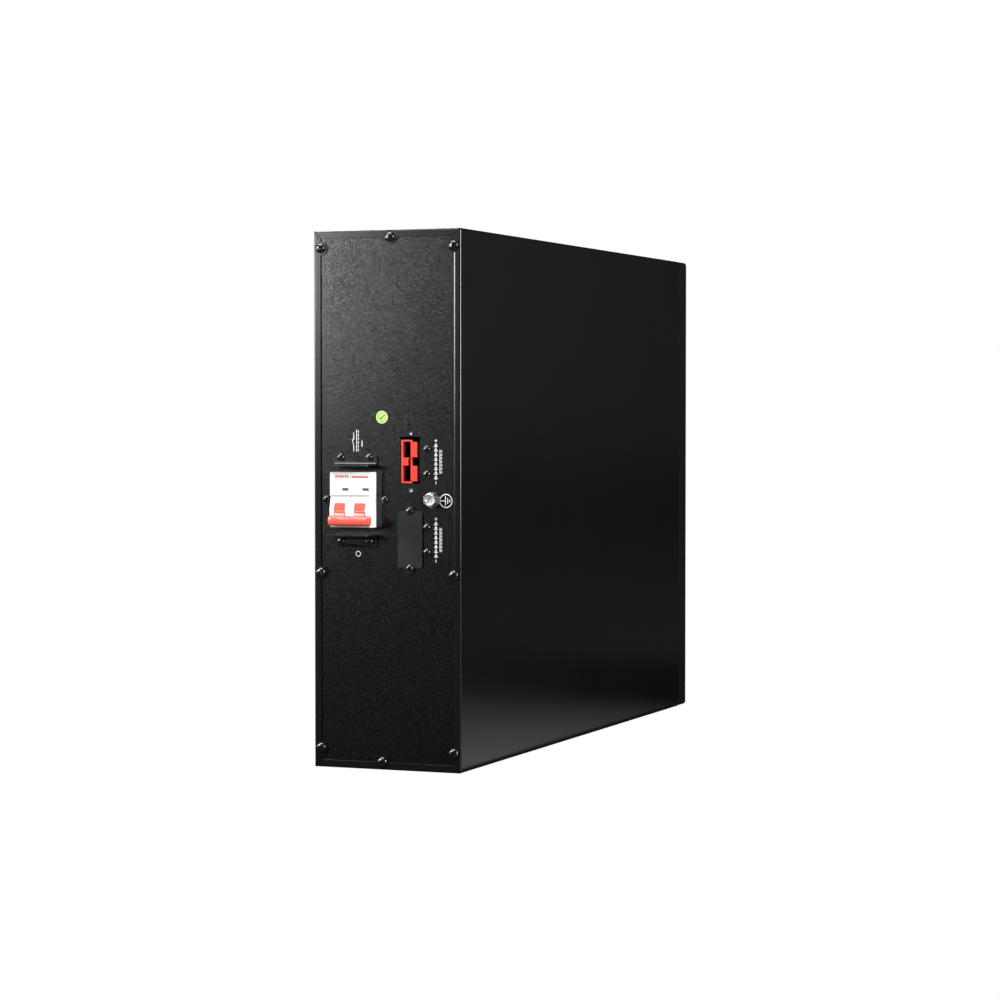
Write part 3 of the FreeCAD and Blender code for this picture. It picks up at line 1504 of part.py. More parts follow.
def front_bezel():
    """The plastic bezel that pulls off: slotted face, four snap hooks, grip grooves at its ends."""
    body = new_body("front_bezel")
    back = "seam_y + bezel_gap"
    wide = ("-side_x", "side_x")
    tall = ("0", "cabinet_height")
    box(body, "bezel_block", wide, (back, "cabinet_depth"), tall)
    front = size("cabinet_depth")
    side = size("side_x")

    def rounded(middle, direction):
        upright = abs(direction.y) > DIRECTED
        across = near(middle.y, front)
        return across or upright and near(abs(middle.x), side)

    round_edges(body, "bezel_edges", "bezel_round", rounded)
    cut_box(
        body,
        "bezel_hollow",
        ("-side_x + bezel_wall", "side_x - bezel_wall"),
        ("seam_y - cut_over", "cabinet_depth - bezel_wall"),
        ("bezel_wall", "cabinet_height - bezel_wall"),
    )
    for index in range(SLOT_COUNT):
        low = f"bezel_slot_low + {index} * bezel_slot_pitch"
        slot = (low, f"{low} + bezel_slot")
        through = ("cabinet_depth - bezel_wall - cut_over", "cabinet_depth + cut_over")
        cut_box(body, f"bezel_slot_{index}", ("-bezel_slot_half", "bezel_slot_half"), through, slot)
    grips = (
        ("low", "-cut_over", "grip_depth"),
        ("high", "cabinet_height - grip_depth", "cabinet_height + cut_over"),
    )
    for name, low, high in grips:
        for index in range(GRIP_COUNT):
            start = f"grip_start + {index} * grip_pitch"
            groove = (start, f"{start} + grip_width")
            cut_box(body, f"grip_{name}_{index}", ("-grip_half", "grip_half"), groove, (low, high))
    for index, (x, z) in enumerate(HOOKS):
        across = (f"{x} - hook_gauge / 2", f"{x} + hook_gauge / 2")
        place = f"cabinet_height / 2 + {z}"
        up = (f"{place} - hook_half", f"{place} + hook_half")
        box(body, f"hook_{index}", across, ("hook_back", "cabinet_depth - bezel_wall + weld_lap"), up)


# ---------------------------------------------------------------- build and write

chassis_pan()
chassis_cover()
side_screws()
rear_panel()
panel_screws()
small_screws()
finger_guard("upper_guard", "upper_leg_z", "upper_flange_z", "+", GUARD_HOLES["upper"])
finger_guard("lower_guard", "lower_leg_z", "lower_flange_z", "-", GUARD_HOLES["lower"])
blank_plate()
earth_terminal()
round_sticker()
breaker()
din_rail()
breaker_bracket()
for plug_name, plug_shift in PLUG_SHIFTS.items():
    connector_housing(plug_name, plug_shift)
group("connector_holders", [connector_holder(name, shift) for name, shift in PLUG_SHIFTS.items()])
connector_contacts()
battery_bay()
bay_bulkhead()
fuse()
power_leads()
front_plate()
front_bezel()

doc.recompute()
for thing in doc.Objects:
    if "Invalid" in thing.State or "Error" in thing.State:
        raise RuntimeError(f"{thing.Name} failed: {thing.State}")
os.makedirs("parts", exist_ok=True)
for piece in subparts:
    shape = piece.Shape
    if shape.isNull() or not shape.isValid() or not shape.Solids:
        raise RuntimeError(f"{piece.Label} has no valid shape")
    shape.exportStep(f"parts/{piece.Label}.step")
print(len(subparts), "sub-parts written")
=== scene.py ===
"""Looks of the battery cabinet: materials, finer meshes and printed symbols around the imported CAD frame.

Metres, in the CAD frame: +Z up, +Y from the connection panel to the bezel, +X out of the base side.
Small sizes are written as millimetres times MM. Outlines and printed marks are drawn in plain
millimetres and scaled by MM where they are placed. Places are taken from the CAD nodes' boxes.
"""

import json
import math

import bmesh
import bpy
from mathutils import Matrix, Vector


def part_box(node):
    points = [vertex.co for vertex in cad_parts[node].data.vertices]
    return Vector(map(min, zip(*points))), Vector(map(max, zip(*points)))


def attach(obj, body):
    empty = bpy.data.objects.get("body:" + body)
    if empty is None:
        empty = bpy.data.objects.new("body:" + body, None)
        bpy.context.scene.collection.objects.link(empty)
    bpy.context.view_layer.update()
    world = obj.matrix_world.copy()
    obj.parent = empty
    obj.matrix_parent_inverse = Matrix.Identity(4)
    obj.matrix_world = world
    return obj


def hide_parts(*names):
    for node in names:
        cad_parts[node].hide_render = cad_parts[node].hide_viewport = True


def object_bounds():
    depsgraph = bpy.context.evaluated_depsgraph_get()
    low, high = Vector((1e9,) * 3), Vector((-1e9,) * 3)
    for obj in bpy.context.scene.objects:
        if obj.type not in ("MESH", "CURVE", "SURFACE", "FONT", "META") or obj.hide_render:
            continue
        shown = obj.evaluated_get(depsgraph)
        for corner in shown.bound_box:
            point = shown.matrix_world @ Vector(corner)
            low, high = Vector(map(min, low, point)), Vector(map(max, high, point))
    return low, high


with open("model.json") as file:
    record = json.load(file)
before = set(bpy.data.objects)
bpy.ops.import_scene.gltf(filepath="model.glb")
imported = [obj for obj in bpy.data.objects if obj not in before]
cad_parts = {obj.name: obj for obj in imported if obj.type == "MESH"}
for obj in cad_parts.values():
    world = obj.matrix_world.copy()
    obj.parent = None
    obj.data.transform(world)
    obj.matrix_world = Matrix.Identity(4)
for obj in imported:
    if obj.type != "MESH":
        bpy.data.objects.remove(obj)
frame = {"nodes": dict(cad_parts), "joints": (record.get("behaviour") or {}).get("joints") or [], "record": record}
nodes = frame["nodes"]
cad_low, cad_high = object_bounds()

MM = 0.001
WELD = 1e-6
ON_PLANE = 0.02 * MM

# -------------------- camera, stage and light

CAMERA_PLACE = (0.92976, -2.36730, 0.29201)
CAMERA_YAW = 0.3795
CAMERA_PITCH = -0.0318
CAMERA_LENS = 101.41
SENSOR_WIDTH = 36.0
FAR_CLIP = 60.0

PANEL_AIM = (0.0, -0.28, 0.25)
BEZEL_AIM = (0.0, 0.2, 0.2)
SOFT_BOXES = (
    # name, place, width, height, power in watts, and the point that the light faces
    ("key_box", (-1.46, -2.30, 0.735), 0.60, 0.72, 32.0, PANEL_AIM),
    ("left_box", (-2.2, -1.35, 0.45), 0.5, 0.9, 14.0, PANEL_AIM),
    ("right_box", (2.6, -1.05, 0.8), 1.0, 1.3, 120.0, PANEL_AIM),
    ("front_box", (-0.75, -1.6, 2.05), 2.2, 0.7, 60.0, PANEL_AIM),
    ("top_box", (-0.2, -0.9, 2.6), 1.2, 0.6, 30.0, PANEL_AIM),
    ("back_box", (-1.9, 2.6, 1.7), 1.6, 1.4, 110.0, BEZEL_AIM),
    ("back_right_box", (2.6, 1.6, 2.1), 1.2, 1.2, 25.0, BEZEL_AIM),
)

WHITE = (1.0, 1.0, 1.0, 1.0)
STUDIO_GLOW_LEFT = 0.012
STUDIO_GLOW_RIGHT = 0.12
STUDIO_GLOW_SPREAD = (0.27, 0.5)
FLOOR_SIZE = 30.0
FLOOR_MATT = (0.02, 0.02, 0.02, 1.0)
CARD_LOW = Vector((0.075, -0.45, 0.0004))
CARD_HIGH = Vector((1.3, 0.75, 0.0004))
CARD_BRIGHT = 0.42
CARD_FADE = (-0.24, 0.33)


def make_camera():
    """The photograph's viewpoint, looking very slightly down."""
    data = bpy.data.cameras.new("camera")
    data.lens = CAMERA_LENS
    data.sensor_width = SENSOR_WIDTH
    data.clip_end = FAR_CLIP
    camera = bpy.data.objects.new("camera", data)
    camera.location = CAMERA_PLACE
    camera.rotation_euler = (math.pi / 2 + CAMERA_PITCH, 0.0, CAMERA_YAW)
    bpy.context.scene.collection.objects.link(camera)
    bpy.context.scene.camera = camera


def soft_box(name, place, width, height, power, aim):
    """A rectangular soft light at place that faces aim."""
    data = bpy.data.lights.new(name, "AREA")
    data.shape = "RECTANGLE"
    data.size = width
    data.size_y = height
    data.energy = power
    light = bpy.data.objects.new(name, data)
    light.location = place
    direction = Vector(aim) - Vector(place)
    light.rotation_euler = direction.to_track_quat("-Z", "Y").to_euler()
    bpy.context.scene.collection.objects.link(light)


def make_lights():
    """All the soft boxes of the studio."""
    for row in SOFT_BOXES:
        soft_box(*row)


def map_range(tree, value, start, end, low, high):
    """The output of a node that maps value from start..end to low..high."""
    node = tree.nodes.new("ShaderNodeMapRange")
    for name, number in (("From Min", start), ("From Max", end), ("To Min", low), ("To Max", high)):
        node.inputs[name].default_value = number
    tree.links.new(value, node.inputs["Value"])
    return node.outputs["Result"]


def for_camera(tree, out, seen, unseen):
    """Gives the camera's own rays one shader, and every other ray another."""
    paths = tree.nodes.new("ShaderNodeLightPath")
    mix = tree.nodes.new("ShaderNodeMixShader")
    tree.links.new(paths.outputs["Is Camera Ray"], mix.inputs["Fac"])
    tree.links.new(unseen.outputs[0], mix.inputs[1])
    tree.links.new(seen.outputs[0], mix.inputs[2])
    tree.links.new(mix.outputs[0], out.inputs["Surface"])


def make_world():
    """White where the camera looks past the floor, and a dim studio, lighter to the right, for the rest."""
    world = bpy.data.worlds.new("studio")
    world.use_nodes = True
    tree = world.node_tree
    tree.nodes.clear()
    white = tree.nodes.new("ShaderNodeBackground")
    white.inputs["Color"].default_value = WHITE
    place = tree.nodes.new("ShaderNodeTexCoord")
    parts = tree.nodes.new("ShaderNodeSeparateXYZ")
    tree.links.new(place.outputs["Generated"], parts.inputs[0])
    glow = map_range(tree, parts.outputs["X"], *STUDIO_GLOW_SPREAD, STUDIO_GLOW_LEFT, STUDIO_GLOW_RIGHT)
    dim = tree.nodes.new("ShaderNodeBackground")
    dim.inputs["Color"].default_value = WHITE
    tree.links.new(glow, dim.inputs["Strength"])
    for_camera(tree, tree.nodes.new("ShaderNodeOutputWorld"), seen=white, unseen=dim)
    bpy.context.scene.world = world


def stage_plane(name, low, high, material):
    """A flat horizontal piece of the studio."""
    mesh = bpy.data.meshes.new(name)
    spots = [(low.x, low.y), (high.x, low.y), (high.x, high.y), (low.x, high.y)]
    mesh.from_pydata([(x, y, low.z) for x, y in spots], [], [(0, 1, 2, 3)])
    mesh.materials.append(material)
    plane = bpy.data.objects.new(name, mesh)
    bpy.context.scene.collection.objects.link(plane)
    return plane


def paper_material():
    """Seen directly it is lit to pure white; to every other ray it is a dark, matt floor."""
    material = bpy.data.materials.new("floor_paper")
    material.use_nodes = True
    tree = material.node_tree
    tree.nodes.clear()
    lit = tree.nodes.new("ShaderNodeEmission")
    lit.inputs["Color"].default_value = WHITE
    matt = tree.nodes.new("ShaderNodeBsdfDiffuse")
    matt.inputs["Color"].default_value = FLOOR_MATT
    for_camera(tree, tree.nodes.new("ShaderNodeOutputMaterial"), seen=lit, unseen=matt)
    return material


def card_material():
    """A reflector that glows near the cabinet and fades out towards the back of the studio."""
    material = bpy.data.materials.new("reflector_card")
    material.use_nodes = True
    tree = material.node_tree
    tree.nodes.clear()
    place = tree.nodes.new("ShaderNodeTexCoord")
    parts = tree.nodes.new("ShaderNodeSeparateXYZ")
    glow = tree.nodes.new("ShaderNodeEmission")
    out = tree.nodes.new("ShaderNodeOutputMaterial")
    tree.links.new(place.outputs["Object"], parts.inputs[0])
    fade = map_range(tree, parts.outputs["Y"], *CARD_FADE, CARD_BRIGHT, 0.0)
    tree.links.new(fade, glow.inputs["Strength"])
    tree.links.new(glow.outputs[0], out.inputs["Surface"])
    return material


def make_floor():
    """The floor, and a reflector card beside the cabinet that the camera itself doesn't see."""
    half = FLOOR_SIZE / 2
    stage_plane("floor", Vector((-half, -half, 0.0)), Vector((half, half, 0.0)), paper_material())
    card = stage_plane("reflector_card", CARD_LOW, CARD_HIGH, card_material())
    card.visible_camera = False
    card.visible_shadow = False


# -------------------- materials

CONNECTOR_RED = (0.60, 0.046, 0.028)
# painted shade in the connector's wells: the near-black colour, and the depths below the front where it starts and
# where it is full
CONNECTOR_WELL_SHADE = (0.045, 0.0005, 0.001)
WELL_SHADE_STARTS = 1.0 * MM
WELL_SHADE_ENDS = 6.5 * MM
MOULD_MOTTLE = 0.08
MOULD_ROUGHNESS_LOW = 0.88
MOULD_ROUGHNESS_HIGH = 1.12


class Surface:
    """A Principled material and short ways to add procedural nodes to it."""

    def __init__(self, name, color, roughness, metallic=0.0, specular=0.5):
        self.material = bpy.data.materials.new(name)
        self.material.use_nodes = True
        self.tree = self.material.node_tree
        self.shader = self.tree.nodes["Principled BSDF"]
        self.shader.inputs["Base Color"].default_value = (*color, 1.0)
        self.shader.inputs["Roughness"].default_value = roughness
        self.shader.inputs["Metallic"].default_value = metallic
        self.shader.inputs["Specular IOR Level"].default_value = specular
        self.place = self.tree.nodes.new("ShaderNodeTexCoord")

    def noise(self, scale, detail=2.0, rough=0.5):
        """Soft noise around 0.5, with scale features to the metre."""
        node = self.tree.nodes.new("ShaderNodeTexNoise")
        node.inputs["Scale"].default_value = scale
        node.inputs["Detail"].default_value = detail
        node.inputs["Roughness"].default_value = rough
        self.tree.links.new(self.place.outputs["Object"], node.inputs["Vector"])
        return node.outputs["Fac"]

    def cells(self, scale):
        """A random value for each of the cells of a Voronoi pattern."""
        node = self.tree.nodes.new("ShaderNodeTexVoronoi")
        node.inputs["Scale"].default_value = scale
        self.tree.links.new(self.place.outputs["Object"], node.inputs["Vector"])
        return node.outputs["Color"]

    def spread(self, fac, low, high, start=0.3, end=0.7):
        """fac mapped from start..end to low..high."""
        return map_range(self.tree, fac, start, end, low, high)

    def vary_color(self, fac, dark, light):
        """Base colour mixed from dark to light by fac."""
        node = self.tree.nodes.new("ShaderNodeMix")
        node.data_type = "RGBA"
        node.inputs["A"].default_value = (*dark, 1.0)
        node.inputs["B"].default_value = (*light, 1.0)
        self.tree.links.new(fac, node.inputs["Factor"])
        self.tree.links.new(node.outputs["Result"], self.shader.inputs["Base Color"])

    def vary_roughness(self, fac, low, high):
        """Roughness from low to high by fac."""
        self.tree.links.new(self.spread(fac, low, high), self.shader.inputs["Roughness"])

    def vary_specular_tint(self, fac, low, high):
        """Strength of the highlights, from low to high by fac."""
        self.tree.links.new(self.spread(fac, low, high), self.shader.inputs["Specular Tint"])

    def bump(self, fac, height):
        """Bumps of a height in metres."""
        node = self.tree.nodes.new("ShaderNodeBump")
        node.inputs["Distance"].default_value = height
        node.inputs["Strength"].default_value = 1.0
        self.tree.links.new(fac, node.inputs["Height"])
        self.tree.links.new(node.outputs["Normal"], self.shader.inputs["Normal"])


def case_paint():
    """Smooth satin black powder coat with a faint orange peel."""
    made = Surface("case_paint", color=(0.0035, 0.0035, 0.0036), roughness=0.2)
    cloud = made.noise(scale=14.0, detail=3.0)
    made.vary_color(cloud, dark=(0.0030, 0.0030, 0.0031), light=(0.0042, 0.0042, 0.0043))
    made.vary_roughness(made.noise(scale=9.0, detail=3.0), low=0.165, high=0.195)
    made.bump(made.noise(scale=420.0), height=0.006 * MM)
    return made.material


def panel_paint():
    """Sandy semi-gloss black powder coat: matt and shiny grains of about a millimetre."""
    made = Surface("panel_paint", color=(0.0016, 0.0016, 0.0016), roughness=0.22, specular=0.45)
    grain = made.noise(scale=720.0, rough=0.65)
    made.vary_color(grain, dark=(0.0002, 0.0002, 0.0002), light=(0.0030, 0.0030, 0.0031))
    made.vary_specular_tint(grain, low=0.25, high=1.75)
    made.vary_roughness(made.noise(scale=900.0), low=0.185, high=0.245)
    made.bump(made.noise(scale=1000.0, rough=0.6), height=0.042 * MM)
    return made.material


def guard_paint():
    """Smooth glossy black enamel of the finger guards."""
    made = Surface("guard_paint", color=(0.0032, 0.0032, 0.0033), roughness=0.15, specular=0.6)
    made.vary_roughness(made.noise(scale=60.0, detail=3.0), low=0.17, high=0.22)
    made.bump(made.noise(scale=900.0), height=0.006 * MM)
    return made.material


def plate_paint():
    """Smooth satin black powder coat of the blank plate."""
    made = Surface("plate_paint", color=(0.004, 0.004, 0.004), roughness=0.3)
    made.vary_roughness(made.noise(scale=40.0, detail=3.0), low=0.25, high=0.30)
    made.bump(made.noise(scale=900.0), height=0.008 * MM)
    return made.material


def black_screw():
    """Glossy black zinc on steel."""
    made = Surface("black_screw", color=(0.006, 0.006, 0.0065), roughness=0.13, specular=1.0)
    made.vary_roughness(made.noise(scale=700.0), low=0.10, high=0.2)
    made.bump(made.noise(scale=1500.0), height=0.006 * MM)
    return made.material


def bright_zinc(name):
    """Bright electroplated zinc or nickel, slightly cloudy."""
    made = Surface(name, color=(0.62, 0.62, 0.615), roughness=0.28, metallic=1.0)
    cloud = made.noise(scale=350.0, detail=3.0)
    made.vary_color(cloud, dark=(0.56, 0.56, 0.555), light=(0.68, 0.68, 0.675))
    made.vary_roughness(made.noise(scale=900.0), low=0.24, high=0.31)
    made.bump(made.noise(scale=1300.0), height=0.004 * MM)
    return made.material


def galvanised():
    """Zinc-coated sheet with its large crystal flakes."""
    made = Surface("galvanised", color=(0.55, 0.56, 0.57), roughness=0.4, metallic=1.0)
    flake = made.cells(scale=140.0)
    made.vary_color(flake, dark=(0.50, 0.51, 0.53), light=(0.60, 0.61, 0.62))
    made.vary_roughness(flake, low=0.36, high=0.46)
    return made.material


def moulded(name, color, roughness, grain, specular):
    """Moulded plastic or a flat ink: an even colour, a faint mottle and a fine grain, in millimetres deep."""
    made = Surface(name, color, roughness, specular=specular)
    shade = tuple(channel * (1.0 - MOULD_MOTTLE) for channel in color)
    made.vary_color(made.noise(scale=60.0, detail=3.0), dark=shade, light=color)
    low = roughness * MOULD_ROUGHNESS_LOW
    made.vary_roughness(made.noise(scale=300.0), low, roughness * MOULD_ROUGHNESS_HIGH)
    made.bump(made.noise(scale=1500.0), height=grain * MM)
    return made.material


def connector_plastic():
    """Red moulded plastic of the connector, with painted shade that darkens it towards near-black in the depth of
    its wells.
    """
    made = Surface("connector_red", CONNECTOR_RED, roughness=0.22)
    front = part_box("connector_housing")[0].y
    parts = made.tree.nodes.new("ShaderNodeSeparateXYZ")
    made.tree.links.new(made.place.outputs["Object"], parts.inputs[0])
    # painted shade: the red turns to near-black with depth below the connector's front, standing in for the shade
    # inside the wells
    depth = made.spread(parts.outputs["Y"], 0.0, 1.0, start=front + WELL_SHADE_STARTS, end=front + WELL_SHADE_ENDS)
    made.vary_color(depth, CONNECTOR_RED, CONNECTOR_WELL_SHADE)
    made.vary_roughness(made.noise(scale=300.0), low=0.19, high=0.25)
    made.bump(made.noise(scale=1500.0), height=0.008 * MM)
    return made.material


def white_ink():
    """Screen-printed ink, slightly thin where it lies over the grain."""
    made = Surface("white_ink", color=(0.8, 0.8, 0.78), roughness=0.5)
    made.vary_color(made.noise(scale=1200.0), dark=(0.60, 0.60, 0.59), light=(0.9, 0.9, 0.88))
    return made.material


def copper():
    """Bare copper, tarnished here and there."""
    made = Surface("copper", color=(0.80, 0.42, 0.27), roughness=0.3, metallic=1.0)
    made.vary_color(made.noise(scale=200.0, detail=3.0), dark=(0.66, 0.33, 0.20), light=(0.84, 0.46, 0.30))
    made.vary_roughness(made.noise(scale=400.0, detail=3.0), low=0.22, high=0.42)
    return made.material


MOULDED = (
    # name, colour, roughness, depth of the grain in millimetres, specular level
    ("breaker_white", (0.86, 0.86, 0.85), 0.36, 0.012, 0.5),
    ("handle_red", (0.76, 0.085, 0.055), 0.24, 0.012, 1.0),
    ("sticker_green", (0.50, 0.80, 0.20), 0.45, 0.012, 0.5),
    ("bezel_plastic", (0.004, 0.004, 0.0042), 0.34, 0.02, 0.28),
    ("block_case", (0.012, 0.012, 0.014), 0.45, 0.03, 0.5),
    ("fuse_body", (0.75, 0.73, 0.68), 0.6, 0.012, 0.5),
    ("lead_insulation", (0.006, 0.006, 0.006), 0.4, 0.012, 0.5),
    ("label_white", (0.9, 0.9, 0.9), 0.3, 0.002, 0.5),
    ("red_ink", (0.72, 0.06, 0.035), 0.5, 0.002, 0.5),
    ("grey_ink", (0.06, 0.06, 0.06), 0.5, 0.002, 0.5),
    ("pale_line", (0.30, 0.30, 0.30), 0.5, 0.002, 0.5),
    ("olive_ink", (0.10, 0.20, 0.03), 0.5, 0.002, 0.5),
)
MATERIALS = {row[0]: moulded(*row) for row in MOULDED}
MATERIALS.update({
    "case_paint": case_paint(),
    "panel_paint": panel_paint(),
    "guard_paint": guard_paint(),
    "plate_paint": plate_paint(),
    "black_screw": black_screw(),
    "zinc_steel": bright_zinc("bright_zinc"),
    "contact_silver": bright_zinc("contact_silver"),
    "galvanised_steel": galvanised(),
    "connector_red": connector_plastic(),
    "copper": copper(),
    "white_ink": white_ink(),
})


def dress_nodes():
    """Gives each CAD node the material of its slot in the record."""
    for entry in frame["record"]["subparts"]:
        data = nodes[entry["node"]].data
        data.materials.clear()
        data.materials.append(MATERIALS[entry["material_slot"]])


# -------------------- mesh helpers

FLAT_ANGLE = math.radians(0.2)
CORNER_ANGLE = math.radians(35)
SURFACE_CREASE = math.radians(42)
SORT_DIGITS = 4
FLAT_FACE_WEIGHT = 100

LIP_PROUD = 1.2 * MM
LIP_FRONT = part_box("rear_panel")[0].y - LIP_PROUD
LIP_ROUND = 0.9 * MM
LIP_SEGMENTS = 5
LIP_MARGIN = 1.5 * MM
LIP_SHORTEST = 6 * MM
LIP_STRAIGHT = 0.01 * MM


def add_piece(name, mesh, material, body, replaced=()):
    """Puts a finished mesh into the scene, on its body and in place of any CAD nodes."""
    mesh.materials.clear()
    mesh.materials.append(MATERIALS[material])
    piece = bpy.data.objects.new(name, mesh)
    bpy.context.scene.collection.objects.link(piece)
    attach(piece, body)
    if replaced:
        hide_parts(*replaced)
    return piece


def finished(shape, name, smooth=True):
    """A mesh from a bmesh, with outward normals."""
    bmesh.ops.recalc_face_normals(shape, faces=shape.faces)
    for face in shape.faces:
        face.smooth = smooth
    mesh = bpy.data.meshes.new(name)
    shape.to_mesh(mesh)
    shape.free()
    return mesh


def weight_normals(piece):
    """Keeps large flat faces flat beside their rounded edges."""
    weighted = piece.modifiers.new("flat_faces", "WEIGHTED_NORMAL")
    weighted.weight = FLAT_FACE_WEIGHT
    weighted.keep_sharp = True


def welded(node):
    """A CAD node's surface as a bmesh whose faces share their corners."""
    shape = bmesh.new()
    shape.from_mesh(nodes[node].data)
    bmesh.ops.remove_doubles(shape, verts=shape.verts, dist=WELD)
    return shape


def clean_copy(node):
    """A CAD node's surface as one connected bmesh whose flat faces are single faces."""
    shape = welded(node)
    bmesh.ops.dissolve_limit(shape, angle_limit=FLAT_ANGLE, verts=shape.verts, edges=shape.edges)
    return shape


def soften(shape, width, segments, wanted, corner=CORNER_ANGLE):
    """Rounds the edges of a bmesh that turn by more than corner and for which wanted(edge) holds."""
    sharp = [edge for edge in shape.edges if len(edge.link_faces) == 2 and edge.calc_face_angle(0) > corner]
    bmesh.ops.bevel(
        shape,
        geom=[edge for edge in sharp if wanted(edge)],
        offset=width,
        segments=segments,
        profile=0.5,
        affect="EDGES",
        clamp_overlap=True,
    )


def refine(node, width, slot, body="cabinet", material=None, segments=2, lips=False):
    """Stands in for a sheet or moulded CAD node: the same shape with softened edges."""
    shape = clean_copy(node)
    if lips:
        soften(shape, LIP_ROUND, LIP_SEGMENTS, is_lip_edge)
    soften(shape, width, segments, lambda edge: not is_lip_edge(edge))
    name = node + "_surface"
    mesh = finished(shape, name)
    mesh.set_sharp_from_angle(angle=SURFACE_CREASE)
    piece = add_piece(name, mesh, material or slot, body, (node,))
    weight_normals(piece)
    return piece


def is_lip_edge(edge):
    """Whether an edge is a long inner edge on the front of the case's rear lips."""
    one, other = (vert.co for vert in edge.verts)
    on_front = max(abs(one.y - LIP_FRONT), abs(other.y - LIP_FRONT)) < ON_PLANE
    inside = max(abs(one.x), abs(other.x)) < cad_high.x - LIP_MARGIN
    off_ends = min(one.z, other.z) > LIP_MARGIN and max(one.z, other.z) < cad_high.z - LIP_MARGIN
    straight = min(abs(one.x - other.x), abs(one.z - other.z)) < LIP_STRAIGHT
    return on_front and inside and off_ends and straight and edge.calc_length() > LIP_SHORTEST


def islands(node):
    """Lowest and highest corner of each separate solid of a CAD node, sorted from the top down."""
    shape = welded(node)
    left = set(shape.verts)
    boxes = []
    while left:
        reach = [left.pop()]
        spots = []
        while reach:
            vert = reach.pop()
            spots.append(vert.co.copy())
            for edge in vert.link_edges:
                other = edge.other_vert(vert)
                if other in left:
                    left.remove(other)
                    reach.append(other)
        low = Vector([min(spot[axis] for spot in spots) for axis in range(3)])
        high = Vector([max(spot[axis] for spot in spots) for axis in range(3)])
        boxes.append((low, high))
    shape.free()
    return sorted(boxes, key=lambda box: (-round(box[0].z, SORT_DIGITS), round(box[0].x, SORT_DIGITS)))


def turns(steps):
    """The angles of a full turn in equal steps."""
    return [2 * math.pi * step / steps for step in range(steps)]


def bridge(shape, rings, steps, closed=False):
    """Faces between each ring of vertices and the next, where a ring of one vertex is a pole."""
    pairs = list(zip(rings, rings[1:]))
    if closed:
        pairs.append((rings[-1], rings[0]))
    for one, other in pairs:
        for step in range(steps):
            after = (step + 1) % steps
            near = [one[step % len(one)], one[after % len(one)]]
            far = [other[after % len(other)], other[step % len(other)]]
            corners = list(dict.fromkeys(near + far))
            if len(corners) > 2:
                shape.faces.new(corners)


def revolve(shape, outline, steps, closed=False):
    """Turns (radius, along) pairs about the Y axis, where along grows towards -Y, out of the panel."""
    rings = []
    for radius, along in outline:
        spots = [(radius * math.cos(t), -along, radius * math.sin(t)) for t in turns(steps)]
        if radius < WELD:
            spots = [(0.0, -along, 0.0)]
        rings.append([shape.verts.new(spot) for spot in spots])
    bridge(shape, rings, steps, closed)


def prism(shape, outline, low, high, way):
    """A closed solid from an outline. way(a, b, along) turns outline and depth into a place."""
    ends = [[shape.verts.new(way(a, b, along)) for a, b in outline] for along in (low, high)]
    for end in ends:
        shape.faces.new(end)
    bridge(shape, ends, len(outline))


def carve(mesh, tool, name):
    """mesh with the solid of tool taken away."""
    body = bpy.data.objects.new(name + "_body", mesh)
    cutter = bpy.data.objects.new(name + "_tool", tool)
    for thing in (body, cutter):
        bpy.context.scene.collection.objects.link(thing)
    cut = body.modifiers.new("cut", "BOOLEAN")
    cut.operation = "DIFFERENCE"
    cut.solver = "EXACT"
    cut.object = cutter
    bpy.context.view_layer.update()
    graph = bpy.context.evaluated_depsgraph_get()
    result = bpy.data.meshes.new_from_object(body.evaluated_get(graph))
    for thing in (body, cutter):
        bpy.data.objects.remove(thing)
    return result


def shade_smooth(mesh):
    mesh.polygons.foreach_set("use_smooth", [True] * len(mesh.polygons))


def gather(parts, name):
    """One mesh from (mesh, matrix) pairs."""
    shape = bmesh.new()
    for mesh, place in parts:
        start = len(shape.verts)
        shape.from_mesh(mesh)
        shape.verts.ensure_lookup_table()
        bmesh.ops.transform(shape, matrix=place, verts=shape.verts[start:])
    mesh = bpy.data.meshes.new(name)
    shape.to_mesh(mesh)
    shape.free()
    return mesh


# -------------------- screws

ROUND_STEPS = 40
CROSS_TAPER = 0.5
CROSS_ARMS = 4
HEAD_HEIGHTS = {"panel_screws": 2.6 * MM, "small_screws": 2.2 * MM}

# the dome's profile, as shares of the head's radius and height
DOME_STEPS = 8
DOME_FOOT = 0.38
DOME_RISE = 0.62
DOME_WIDENING = 0.8
DOME_FLATTENING = 0.75
HEAD_RIM = ((1.0, 0.30), (0.985, 0.05), (0.95, 0.0))

# the recess as shares of the head's radius and height, and the shank's radius, taper and tip
RECESS_SPAN = 1.12
RECESS_WIDTH = 0.27
RECESS_TOP = 1.3
RECESS_FLOOR = 0.38
SHANK_SHARE = 0.48
SHANK_CONE = 0.92
SHANK_TIP = 0.8

FIRST_TURN = 17
NEXT_TURN = 53
SCREW_CREASE = math.radians(38)


def cross_tool(span, width, top, bottom):
    """The tapered four-armed punch of a cross recess, between two heights along -Y."""
    shape = bmesh.new()
    long_half = span / 2
    half = width / 2
    quarter = [(long_half, -half), (long_half, half), (half, half)]
    ring = []
    for turn in range(CROSS_ARMS):
        angle = turn * math.pi / 2
        cosine = math.cos(angle)
        sine = math.sin(angle)
        ring += [(a * cosine - b * sine, a * sine + b * cosine) for a, b in quarter]
    ends = []
    for along, scale in ((top, 1.0), (bottom, CROSS_TAPER)):
        ends.append([shape.verts.new((a * scale, -along, b * scale)) for a, b in ring])
        shape.faces.new(ends[-1])
    bridge(shape, ends, len(ring))
    return finished(shape, "cross_tool", smooth=False)


